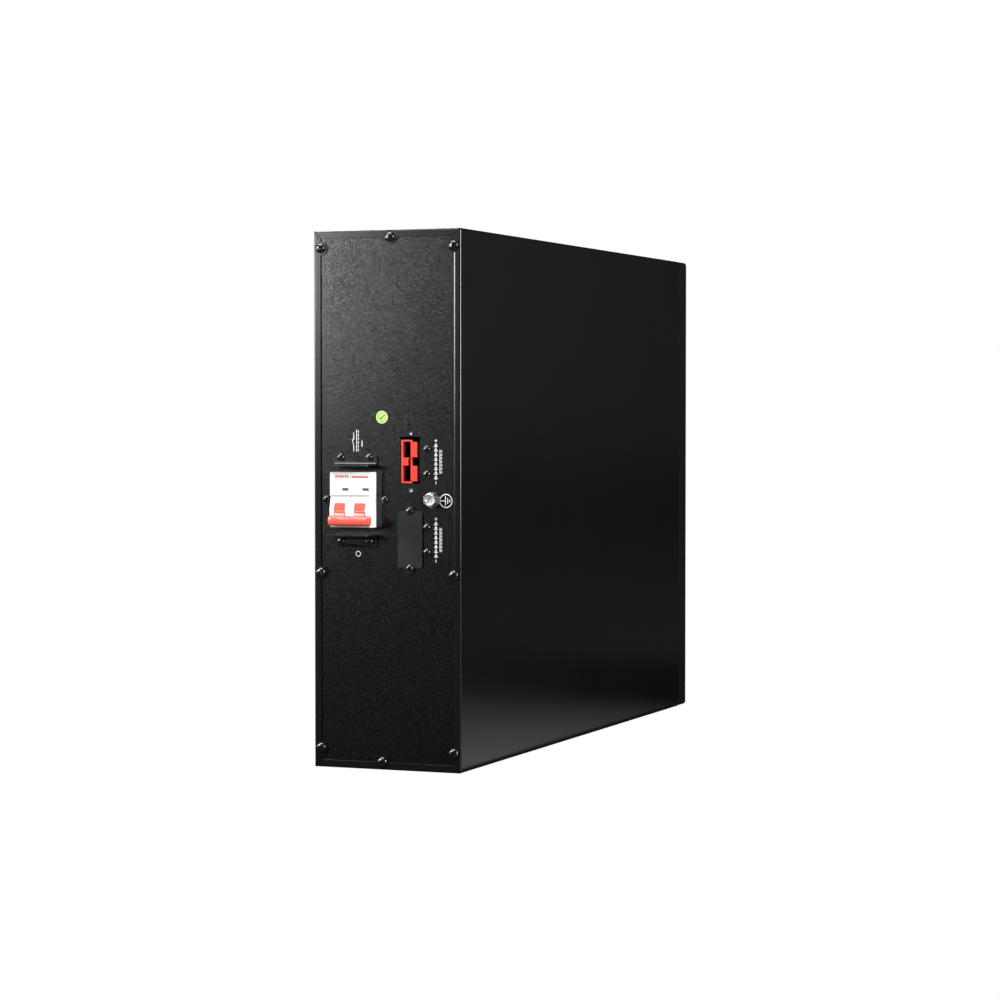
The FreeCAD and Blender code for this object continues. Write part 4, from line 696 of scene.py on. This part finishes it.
def pan_head(radius, height, shank, length):
    """A pan-head screw at the origin: the head stands out along -Y, the shank goes in along +Y."""
    shape = bmesh.new()
    crown = [(0.0, height)]
    for step in range(1, DOME_STEPS):
        angle = math.pi / 2 * step / DOME_STEPS
        rise = DOME_FOOT + DOME_RISE * math.cos(angle) ** DOME_FLATTENING
        crown.append((radius * math.sin(angle) ** DOME_WIDENING, height * rise))
    rim = [(radius * wide, height * tall) for wide, tall in HEAD_RIM]
    stem = [(shank, 0.0), (shank, -length * SHANK_CONE), (shank * SHANK_TIP, -length), (0.0, -length)]
    revolve(shape, crown + rim + stem, ROUND_STEPS)
    head = finished(shape, "pan_head")
    span = radius * RECESS_SPAN
    tool = cross_tool(span, radius * RECESS_WIDTH, height * RECESS_TOP, height * RECESS_FLOOR)
    made = carve(head, tool, "pan_head")
    shade_smooth(made)
    return made


def fit_screws(node, name, slot):
    """Puts a detailed screw in place of each of a node's screws, each turned its own way."""
    boxes = islands(node)
    low, high = boxes[0]
    radius = (high.x - low.x) / 2
    head = HEAD_HEIGHTS[node]
    length = (high.y - low.y) - head
    screw = pan_head(radius, head, radius * SHANK_SHARE, length)
    parts = []
    for index, (low, high) in enumerate(boxes):
        middle = (low + high) / 2
        turn = Matrix.Rotation(math.radians(FIRST_TURN + NEXT_TURN * index), 4, "Y")
        parts.append((screw, Matrix.Translation((middle.x, low.y + head, middle.z)) @ turn))
    mesh = gather(parts, name)
    mesh.set_sharp_from_angle(angle=SCREW_CREASE)
    add_piece(name, mesh, slot, "cabinet", (node,))


def main_screws():
    """The rim screws and the small screws of the connection panel."""
    fit_screws("panel_screws", "rim_screw_set", "black_screw")
    fit_screws("small_screws", "small_screw_set", "black_screw")


# -------------------- earth terminal

HEX_STEPS = 72
HEX_CORNER = 0.985
HEX_CROWN = 0.80
HEX_CHAMFER = 0.55
HEX_SHANK = 0.5
HEX_CREASE = math.radians(25)
# the dished top from its centre: radius as a share of the crown's, and depth below the crown
HEX_DISH = ((0.0, 0.5 * MM), (0.62, 0.45 * MM), (0.72, 0.05 * MM), (1.0, 0.0))
EARTH_RECESS_SPAN = 5.4 * MM
EARTH_RECESS_WIDTH = 1.1 * MM
EARTH_RECESS_TOP = 1 * MM
EARTH_RECESS_DEPTH = 2.0 * MM

WASHER_STEPS = 56
WASHER_BORE = 3.15 * MM
WASHER_EDGE = 0.18 * MM
WASHER_RIM_SHARE = 0.3
WASHER_CREASE = math.radians(50)
SPRING_STEPS = 60
SPRING_START = math.radians(50)
SPRING_GAP = math.radians(9)
SPRING_THICKNESS = 0.72


def turned_ring(shape, radius, along):
    """A ring of vertices about the Y axis that starts on +Z, or one vertex on the axis."""
    if radius < WELD:
        return [shape.verts.new((0.0, -along, 0.0))]
    return [shape.verts.new((radius * math.sin(t), -along, radius * math.cos(t))) for t in turns(HEX_STEPS)]


def hexagon_ring(shape, corner, level):
    """A ring of vertices on a hexagon with blunted corners, at the height level(radius)."""
    flat = corner * math.cos(math.pi / 6)
    ring = []
    for turn in turns(HEX_STEPS):
        radius = min(flat / math.cos(turn % (math.pi / 3) - math.pi / 6), corner * HEX_CORNER)
        ring.append(shape.verts.new((radius * math.sin(turn), -level(radius), radius * math.cos(turn))))
    return ring


def earth_hexagon():
    """The hexagon head with its chamfered crown, dished top and cross recess, and its thread."""
    low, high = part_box("earth_screw")
    middle = (low + high) / 2
    corner = (high.z - low.z) / 2
    seat = min(box[0].y for box in islands("earth_washers"))
    height = seat - low.y
    depth = high.y - seat
    crown = corner * HEX_CROWN
    shank = corner * HEX_SHANK
    shape = bmesh.new()
    rings = [turned_ring(shape, crown * share, height - dip) for share, dip in HEX_DISH]
    rings.append(hexagon_ring(shape, corner, lambda radius: height - (radius - crown) * HEX_CHAMFER))
    rings.append(hexagon_ring(shape, corner, lambda radius: 0.0))
    for radius, along in ((shank, 0.0), (shank, -depth), (0.0, -depth)):
        rings.append(turned_ring(shape, radius, along))
    bridge(shape, rings, HEX_STEPS)
    head = finished(shape, "earth_head")
    top = height + EARTH_RECESS_TOP
    tool = cross_tool(EARTH_RECESS_SPAN, EARTH_RECESS_WIDTH, top, height - EARTH_RECESS_DEPTH)
    mesh = carve(head, tool, "earth_head")
    mesh.transform(Matrix.Translation((middle.x, seat, middle.z)))
    shade_smooth(mesh)
    mesh.set_sharp_from_angle(angle=HEX_CREASE)
    add_piece("earth_hexagon_screw", mesh, "zinc_steel", "cabinet", ("earth_screw",))


def ring_mesh(inner, outer, low, high, name):
    """A washer about the Y axis with softened rims, between two heights along -Y."""
    shape = bmesh.new()
    s = WASHER_EDGE
    rim = s * WASHER_RIM_SHARE
    outline = [
        (inner, low + s),
        (inner, high - s),
        (inner + s, high),
        (outer - s, high),
        (outer - rim, high - rim),
        (outer, high - s),
        (outer, low + s),
        (outer - s, low),
        (inner + s, low),
    ]
    revolve(shape, outline, WASHER_STEPS, closed=True)
    return finished(shape, name)


def spring_ring(inner, outer, low, high, name):
    """A split spring washer: a square wire that climbs over one turn."""
    shape = bmesh.new()
    thick = (high - low) * SPRING_THICKNESS
    climb = (high - low) - thick
    rings = []
    for step in range(SPRING_STEPS + 1):
        share = step / SPRING_STEPS
        turn = SPRING_START + SPRING_GAP + (2 * math.pi - 2 * SPRING_GAP) * share
        base = low + climb * share
        spots = [(inner, base), (inner, base + thick), (outer, base + thick), (outer, base)]
        rings.append([shape.verts.new((r * math.cos(turn), -a, r * math.sin(turn))) for r, a in spots])
    bridge(shape, rings, len(spots))
    shape.faces.new(rings[0])
    shape.faces.new(rings[-1])
    return finished(shape, name)


def earth_washer_set():
    """Spring washer, flat washer and collar under the earth screw."""
    parts = []
    for low, high in sorted(islands("earth_washers"), key=lambda pair: pair[0].y):
        middle = (low + high) / 2
        outer = (high.x - low.x) / 2
        make = spring_ring if not parts else ring_mesh
        mesh = make(WASHER_BORE, outer, 0.0, high.y - low.y, "washer")
        parts.append((mesh, Matrix.Translation((middle.x, high.y, middle.z))))
    mesh = gather(parts, "earth_washer_set")
    mesh.set_sharp_from_angle(angle=WASHER_CREASE)
    add_piece("earth_washer_set", mesh, "zinc_steel", "cabinet", ("earth_washers",))


# -------------------- breaker handle

# a toggle's side view about its pivot, as (y, z) in millimetres
TOGGLE_FACETS = [(-5.7, 6.2), (-6.5, 5.6), (-8.1, 0.75), (-7.7, 0.35), (-7.7, -0.15), (-8.15, -0.55)]
TOGGLE_LEVER = [(-7.95, -2.1), (-8.36, -3.05), (-8.95, -4.0), (-9.9, -5.0), (-12.4, -5.6)]
TOGGLE_HEEL = [(-12.9, -7.6), (-11.3, -9.9), (-9.3, -9.3), (-6.2, -6.0)]
DRUM_RADIUS = 6.6
DRUM_START = -125
DRUM_SWEEP = 225
DRUM_STEPS = 12
TOGGLE_ROUND = 0.28 * MM
TOGGLE_CORNER = math.radians(16)


def joint(name):
    """A joint of the frame, by its name."""
    return next(one for one in frame["joints"] if one["name"] == name)


def toggle_outline():
    """A toggle's side view about its pivot: two facets and a lever in front, and a drum at the back."""
    drum = []
    for step in range(DRUM_STEPS + 1):
        angle = math.radians(DRUM_START + DRUM_SWEEP * step / DRUM_STEPS)
        drum.append((DRUM_RADIUS * math.cos(angle), DRUM_RADIUS * math.sin(angle)))
    return [(y * MM, z * MM) for y, z in TOGGLE_FACETS + TOGGLE_LEVER + TOGGLE_HEEL + drum]


def make_toggles():
    """The two toggles, each a facetted moulding with softened edges."""
    pivot = Vector(joint("breaker_throw")["pos_m"])
    for side in ("left", "right"):
        node = "toggle_" + side
        low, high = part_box(node)
        shape = bmesh.new()
        prism(shape, toggle_outline(), low.x, high.x, lambda y, z, x: (x, pivot.y + y, pivot.z + z))
        bmesh.ops.recalc_face_normals(shape, faces=shape.faces)
        soften(shape, TOGGLE_ROUND, segments=2, wanted=lambda edge: True, corner=TOGGLE_CORNER)
        mesh = finished(shape, node)
        piece = add_piece(node + "_moulding", mesh, "handle_red", "handle", (node,))
        weight_normals(piece)


BAR_POINTS = 44
BAR_SQUARENESS = 0.62
BAR_RIM = 0.5 * MM
BAR_DISH = 0.5 * MM
BAR_CREASE = math.radians(48)
BAR_SECTIONS = (
    # share of the half length from the middle, scale of the section's depth and height
    (-1.000, 0.52, 0.60),
    (-1.000, 0.74, 0.78),
    (-0.988, 0.88, 0.90),
    (-0.960, 0.97, 0.975),
    (-0.920, 1.00, 1.00),
    (-0.800, 1.00, 1.00),
    (-0.770, 0.99, 0.99),
    (-0.755, 0.945, 0.95),
    (-0.740, 0.94, 0.945),
    (-0.400, 0.955, 0.955),
    (0.000, 0.96, 0.96),
)


def squared(value):
    """A cosine or sine pushed outwards, so that a circle becomes a rounded square."""
    return math.copysign(abs(value) ** BAR_SQUARENESS, value)


def make_tie_bar():
    """The rounded bar across both toggles, with a cap at each end and dished end faces."""
    low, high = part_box("handle_tie_bar")
    middle = (low + high) / 2
    half = (high - low) / 2
    shape = bmesh.new()
    sections = list(BAR_SECTIONS)
    sections += [(-share, deep, tall) for share, deep, tall in BAR_SECTIONS[-2::-1]]
    rings = []
    for share, deep, tall in sections:
        ring = []
        for turn in turns(BAR_POINTS):
            x = middle.x + half.x * share
            y = middle.y + half.y * deep * squared(math.cos(turn))
            z = middle.z + half.z * tall * squared(math.sin(turn))
            ring.append(shape.verts.new((x, y, z)))
        rings.append(ring)
    bridge(shape, rings, BAR_POINTS)
    for ring, way in ((rings[0], 1), (rings[-1], -1)):
        face = shape.faces.new(ring)
        bmesh.ops.inset_individual(shape, faces=[face], thickness=BAR_RIM, depth=0.0)
        for vert in face.verts:
            vert.co.x += way * BAR_DISH
    mesh = finished(shape, "tie_bar_moulding")
    mesh.set_sharp_from_angle(angle=BAR_CREASE)
    add_piece("tie_bar_moulding", mesh, "handle_red", "handle", ("handle_tie_bar",))


# -------------------- printed symbols

INK = 0.05 * MM
LINE = 0.55
RING_STEPS = 48

# battery symbol, in millimetres along and across the row
SIGN_ROOM = 3.6
MINUS_IN = 1.3
MINUS_WIDTH = 2.2
PLUS_IN = 1.5
PLUS_WIDTH = 2.4
CELL_PITCH = 3.6
CELL_HEIGHT = 3.3
CELL_BARS = (
    # place from the cell's middle, width and height of its two plates and two leads
    (-0.6, LINE, CELL_HEIGHT),
    (0.6, 0.85, CELL_HEIGHT * 0.56),
    (-1.3, 0.9, 0.5),
    (1.35, 0.7, 0.5),
)

# direct current symbol, as shares of its height and of the dashes' pitch
CURRENT_LEVEL = 0.32
DASH_SHARE = 0.62
DASH_LINE = 0.6

# breaker symbol: shares of half its length, and millimetres across it
LEAD_MIDDLE = 0.68
LEAD_LENGTH = 0.64
BREAKER_STROKES = (
    # start, end and width of the blade and of the two strokes of the cross
    ((-0.36, 0.0), (0.30, 1.5), LINE),
    ((0.26, -0.6), (0.46, 0.6), 0.5),
    ((0.26, 0.6), (0.46, -0.6), 0.5),
)

# places of the marks: across from the guards' middle, and out from the guards' outer edges
BREAKER_ACROSS = -1.8 * MM
BREAKER_OUT = 10.2 * MM
BREAKER_LENGTH = 15.0
CURRENT_ACROSS = 1.6 * MM
CURRENT_OUT = 11.2 * MM
ON_ACROSS = 5.6 * MM
ON_OUT = 8.8 * MM
OFF_ACROSS = 2.1 * MM
OFF_OUT = 5.6 * MM

# places of the marks to the right of the connector's edge
BATTERY_OUT = 15.3 * MM
BATTERY_LENGTH = 36.8
BATTERY_CURRENT_OUT = 19.6 * MM

EARTH_MARK_OUT = 10.4 * MM
EARTH_MARK_DOWN = 0.9 * MM
EARTH_BARS = (
    # place, width and height: the lead, and the three bars that grow shorter
    (-2.9, 4.2, 0.65),
    (-0.5, 0.65, 7.8),
    (1.5, 0.65, 4.6),
    (3.3, 0.65, 2.0),
)


class Print:
    """Flat printed marks on a plane of constant y, drawn in millimetres about an origin (x, z).

    An upward mark runs up the panel instead of across it.
    """

    def __init__(self, x, z, y, upward=True):
        self.shape = bmesh.new()
        self.x = x
        self.z = z
        self.y = y
        self.upward = upward

    def place(self, a, b, along):
        """a runs with the reading direction and b across it, towards the top of the mark."""
        if self.upward:
            return (self.x - b * MM, along, self.z + a * MM)
        return (self.x + a * MM, along, self.z + b * MM)

    def area(self, outline):
        """A filled outline of (a, b) corners."""
        prism(self.shape, outline, self.y - INK, self.y, self.place)

    def bar(self, a, b, width, height):
        """A filled bar about its centre."""
        w = width / 2
        h = height / 2
        self.area([(a - w, b - h), (a + w, b - h), (a + w, b + h), (a - w, b + h)])

    def stroke(self, start, end, width):
        """A straight stroke between two points."""
        along = Vector((end[0] - start[0], end[1] - start[1])).normalized() * width / 2
        side = (-along.y, along.x)
        one = [(start[0] + side[0], start[1] + side[1]), (start[0] - side[0], start[1] - side[1])]
        two = [(end[0] - side[0], end[1] - side[1]), (end[0] + side[0], end[1] + side[1])]
        self.area(one + two)

    def ring(self, a, b, radius, width):
        """A closed ring about (a, b), with its width inside the radius."""
        circles = []
        for along in (self.y - INK, self.y):
            for r in (radius, radius - width):
                spots = [(a + r * math.cos(t), b + r * math.sin(t)) for t in turns(RING_STEPS)]
                circles.append([self.shape.verts.new(self.place(u, v, along)) for u, v in spots])
        front_out, front_in, back_out, back_in = circles
        for pair in ((front_out, front_in), (back_out, back_in), (front_out, back_out), (front_in, back_in)):
            bridge(self.shape, pair, RING_STEPS)

    def finish(self, name, material="white_ink"):
        """Puts the marks into the scene as one piece of the cabinet."""
        add_piece(name, finished(self.shape, name, smooth=False), material, "cabinet")


def battery_symbol(mark, length):
    """A row of cells between a minus and a plus sign."""
    end = length / 2
    mark.bar(MINUS_IN - end, 0.0, MINUS_WIDTH, LINE)
    mark.bar(end - PLUS_IN, 0.0, PLUS_WIDTH, LINE)
    mark.bar(end - PLUS_IN, 0.0, LINE, PLUS_WIDTH)
    row = length - 2 * SIGN_ROOM
    cells = int(row / CELL_PITCH)
    pitch = row / cells
    for index in range(cells):
        middle = SIGN_ROOM - end + pitch * (index + 0.5)
        for place, width, height in CELL_BARS:
            mark.bar(middle + place, 0.0, width, height)


def direct_current_symbol(mark, length, height, dashes):
    """A solid line over a dashed one."""
    level = height * CURRENT_LEVEL
    mark.bar(0.0, level, length, LINE)
    pitch = length / dashes
    for index in range(dashes):
        mark.bar(-length / 2 + pitch * (index + 0.5), -level, pitch * DASH_SHARE, DASH_LINE)


def breaker_symbol(mark, length):
    """A switch blade with its break cross between two lines."""
    half = length / 2
    for middle in (-LEAD_MIDDLE, LEAD_MIDDLE):
        mark.bar(half * middle, 0.0, half * LEAD_LENGTH, LINE)
    for start, end, width in BREAKER_STROKES:
        mark.stroke((half * start[0], start[1]), (half * end[0], end[1]), width)


def print_guard_marks(face):
    """The breaker and direct current symbols and an on bar over the guards, and an off ring below them."""
    low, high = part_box("upper_guard")
    x = (low.x + high.x) / 2
    mark = Print(x + BREAKER_ACROSS, high.z + BREAKER_OUT, face)
    breaker_symbol(mark, BREAKER_LENGTH)
    mark.finish("breaker_print")
    mark = Print(x + CURRENT_ACROSS, high.z + CURRENT_OUT, face)
    direct_current_symbol(mark, length=17.8, height=2.4, dashes=6)
    mark.finish("breaker_current_print")
    mark = Print(x + ON_ACROSS, high.z + ON_OUT, face)
    mark.bar(0.0, 0.0, width=4.8, height=0.75)
    mark.finish("on_print")
    mark = Print(x + OFF_ACROSS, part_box("lower_guard")[0].z - OFF_OUT, face)
    mark.ring(0.0, 0.0, radius=2.3, width=0.6)
    mark.finish("off_print")


def print_connector_marks(face):
    """A battery and a direct current symbol beside the connector and beside the spare one."""
    for name, node in (("upper", "connector_housing"), ("lower", "spare_connector_housing")):
        low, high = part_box(node)
        z = (low.z + high.z) / 2
        mark = Print(high.x + BATTERY_OUT, z, face)
        battery_symbol(mark, BATTERY_LENGTH)
        mark.finish(name + "_battery_print")
        mark = Print(high.x + BATTERY_CURRENT_OUT, z, face)
        direct_current_symbol(mark, length=19.6, height=2.2, dashes=7)
        mark.finish(name + "_current_print")


def print_earth_mark(face):
    """The earth symbol in its ring."""
    low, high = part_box("earth_washers")
    x = (low.x + high.x) / 2 + EARTH_MARK_OUT
    z = (low.z + high.z) / 2 - EARTH_MARK_DOWN
    mark = Print(x, z, face, upward=False)
    mark.ring(0.0, 0.0, radius=5.6, width=0.7)
    for place, width, height in EARTH_BARS:
        mark.bar(place, 0.0, width, height)
    mark.finish("earth_print")


def print_labels():
    """Generic symbols where the connection panel carries its white print."""
    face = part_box("rear_panel")[0].y
    print_guard_marks(face)
    print_connector_marks(face)
    print_earth_mark(face)


# -------------------- breaker front

NOSE_BAND = 4 * MM
LABEL_DROP = 1.0 * MM
LABEL_WIDTH = 35.6
LABEL_MARGIN = 1.6

RED_ACROSS = 9.0 * MM
RED_DOWN = 3.9 * MM
RED_BAR_SHIFT = -0.3
RED_BLOCKS = 6
RED_BLOCK_START = -21.4
RED_BLOCK_PITCH = 2.1
RED_BLOCK_UP = 0.3
RED_BLOCK_WIDTH = 1.3
RED_BLOCK_HEIGHT = 2.3
RED_BLOCK_STEP = 0.5

RULES_ACROSS = 6.2 * MM
RULES_DOWN = 7.4 * MM
RULE_LENGTHS = (8.6, 5.2, 3.8)
RULE_PITCH = 1.9
RULE_LINE = 0.32

TAB_ACROSS = 13.9 * MM
TAB_DOWN = 13.9 * MM
FOOT_RULE_UP = 0.75 * MM


def nose_levels():
    """Front plane, top and step height of the breaker nose, read from its CAD mesh."""
    data = nodes["breaker_case_right"].data
    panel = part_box("rear_panel")[0].y
    spots = [vert.co for vert in data.vertices if vert.co.y < panel]
    top = max(spot.z for spot in spots)
    face = min(spot.y for spot in spots if spot.z > top - NOSE_BAND)
    step = min(spot.z for spot in spots if abs(spot.y - face) < ON_PLANE)
    return face, top, step


def print_label(x, face, top, step):
    """The plain white label that covers the nose between its top and its step."""
    mark = Print(x, (top - LABEL_DROP + step) / 2, face, upward=False)
    mark.bar(0.0, 0.0, LABEL_WIDTH, (top - step) / MM - LABEL_MARGIN)
    mark.finish("breaker_label", "label_white")


def print_red_marks(x, z, face):
    """A red bar on the right pole, and a row of red blocks on the left one."""
    mark = Print(x, z, face, upward=False)
    mark.bar(RED_BAR_SHIFT, 0.0, width=14.6, height=1.35)
    for index in range(RED_BLOCKS):
        height = RED_BLOCK_HEIGHT - RED_BLOCK_STEP * (index % 2)
        mark.bar(RED_BLOCK_START + index * RED_BLOCK_PITCH, RED_BLOCK_UP, RED_BLOCK_WIDTH, height)
    mark.finish("breaker_red_bar", "red_ink")


def print_fine_rules(x, z, face):
    """Three fine rules below the red blocks, flush at their left ends."""
    mark = Print(x, z, face, upward=False)
    for index, length in enumerate(RULE_LENGTHS):
        mark.bar((length - RULE_LENGTHS[0]) / 2, -index * RULE_PITCH, length, RULE_LINE)
    mark.finish("breaker_fine_rules", "pale_line")


def print_breaker():
    """Generic marks on the breaker's front: label, red marks, fine rules, a tab per pole and a foot rule."""
    left_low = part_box("breaker_case_left")[0]
    right_low, right_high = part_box("breaker_case_right")
    nose, top, step = nose_levels()
    middle_x = (left_low.x + right_high.x) / 2
    print_label(middle_x, nose, top, step)
    face = nose - INK
    print_red_marks(right_low.x + RED_ACROSS, top - RED_DOWN, face)
    print_fine_rules(left_low.x + RULES_ACROSS, top - RULES_DOWN, face)
    for name, low in (("left", left_low), ("right", right_low)):
        mark = Print(low.x + TAB_ACROSS, top - TAB_DOWN, face, upward=False)
        mark.bar(0.0, 0.0, width=5.5, height=2.2)
        mark.finish(name + "_pole_tab", "grey_ink")
    mark = Print(middle_x, step + FOOT_RULE_UP, face, upward=False)
    mark.bar(0.0, 0.0, width=34.6, height=0.7)
    mark.finish("breaker_rule", "pale_line")


# -------------------- sticker

STICKER_STEPS = 64
STICKER_EDGE = 0.1 * MM
TICK_WIDTH = 1.1
TICK_STROKES = (((-2.1, 0.1), (-0.5, -1.7)), ((-0.8, -1.6), (2.2, 1.9)))


def sticker():
    """The round paper sticker with a generic tick in a ring on it."""
    low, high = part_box("round_sticker")
    middle = (low + high) / 2
    radius = (high.x - low.x) / 2
    thick = high.y - low.y
    face = [(0.0, thick), (radius - STICKER_EDGE, thick), (radius, thick / 2)]
    shape = bmesh.new()
    revolve(shape, face + [(radius, 0.0), (0.0, 0.0)], STICKER_STEPS)
    mesh = finished(shape, "sticker_disc", smooth=False)
    mesh.transform(Matrix.Translation((middle.x, high.y, middle.z)))
    add_piece("sticker_disc", mesh, "sticker_green", "cabinet", ("round_sticker",))
    mark = Print(middle.x, middle.z, low.y, upward=False)
    mark.ring(0.0, 0.0, radius=3.9, width=0.55)
    for start, end in TICK_STROKES:
        mark.stroke(start, end, TICK_WIDTH)
    mark.finish("sticker_tick", "olive_ink")


# -------------------- hem and threaded inserts

HEM_REACH = 20 * MM
# the hem's section in millimetres: away from the lip's edge, and out from the lip's front
HEM_OUTLINE = [(0.05, -1.0), (0.05, 0.03), (1.0, 0.17), (1.2, 0.08), (1.2, -1.0)]

BUSH_STEPS = 32
BUSH_LENGTH = 6
BUSH_RADIUS = 1.47
BUSH_MOUTH = ((1.05, -0.15), (1.35, 0.0))
THREAD_CREST = 1.0
THREAD_ROOT = 1.25
THREAD_PITCH = 0.7
THREAD_TURNS = 8
BUSH_FROM_EDGE = 8.4 * MM
BUSH_SETBACK = 0.25 * MM
BUSH_FROM_MIDDLE = 23.1 * MM
BUSH_CREASE = math.radians(30)


def right_hem():
    """The turned hem on the inner edge of the case's right lip, whose front leans a little to the panel."""
    edges = []
    for node in ("chassis_pan", "chassis_cover"):
        shape = clean_copy(node)
        spots = [tuple(vert.co.copy() for vert in edge.verts) for edge in shape.edges if is_lip_edge(edge)]
        edges += [(one, other) for one, other in spots if min(one.x, other.x) > cad_high.x - HEM_REACH]
        shape.free()
    one, other = max(edges, key=lambda pair: abs(pair[0].z - pair[1].z))
    low, high = sorted((one.z, other.z))
    shape = bmesh.new()
    prism(shape, HEM_OUTLINE, low, high, lambda a, b, z: (one.x + a * MM, LIP_FRONT - b * MM, z))
    add_piece("right_hem", finished(shape, "right_hem", smooth=False), "case_paint", "cabinet")


def bush_outline():
    """A bush's section as (radius, along): the outer wall, the threads from the inner end, the mouth."""
    outline = [(BUSH_RADIUS, 0.0), (BUSH_RADIUS, -BUSH_LENGTH), (THREAD_CREST, -BUSH_LENGTH)]
    for index in range(THREAD_TURNS):
        level = -THREAD_TURNS * THREAD_PITCH + index * THREAD_PITCH
        outline += [(THREAD_CREST, level), (THREAD_ROOT, level + THREAD_PITCH / 2)]
    outline += BUSH_MOUTH
    return [(radius * MM, along * MM) for radius, along in outline]


def threaded_inserts():
    """Bright threaded bushes in the two empty holes above and below the connector."""
    low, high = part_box("connector_housing")
    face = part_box("rear_panel")[0].y
    middle_z = (low.z + high.z) / 2
    shape = bmesh.new()
    revolve(shape, bush_outline(), BUSH_STEPS, closed=True)
    bush = finished(shape, "bush")
    parts = []
    for way in (-1, 1):
        spot = (low.x + BUSH_FROM_EDGE, face + BUSH_SETBACK, middle_z + way * BUSH_FROM_MIDDLE)
        parts.append((bush, Matrix.Translation(spot)))
    mesh = gather(parts, "threaded_inserts")
    mesh.set_sharp_from_angle(angle=BUSH_CREASE)
    add_piece("threaded_inserts", mesh, "zinc_steel", "cabinet")


# -------------------- build

make_camera()
make_world()
make_floor()
make_lights()
dress_nodes()

refine("chassis_pan", width=0.2 * MM, slot="case_paint", lips=True)
refine("chassis_cover", width=0.2 * MM, slot="case_paint", lips=True)
refine("rear_panel", width=0.12 * MM, slot="panel_paint", segments=1)
refine("blank_plate", width=0.3 * MM, slot="panel_paint", material="plate_paint")
refine("upper_guard", width=0.42 * MM, slot="panel_paint", material="guard_paint")
refine("lower_guard", width=0.42 * MM, slot="panel_paint", material="guard_paint")
refine("front_bezel", width=0.5 * MM, slot="bezel_plastic", body="bezel", segments=3)
refine("connector_housing", width=0.42 * MM, slot="connector_red", segments=3)
refine("breaker_case_left", width=0.3 * MM, slot="breaker_white")
refine("breaker_case_right", width=0.3 * MM, slot="breaker_white")
main_screws()
earth_hexagon()
earth_washer_set()
make_toggles()
make_tie_bar()
print_labels()
print_breaker()
sticker()
right_hem()
threaded_inserts()

bpy.context.scene.view_settings.view_transform = "Standard"
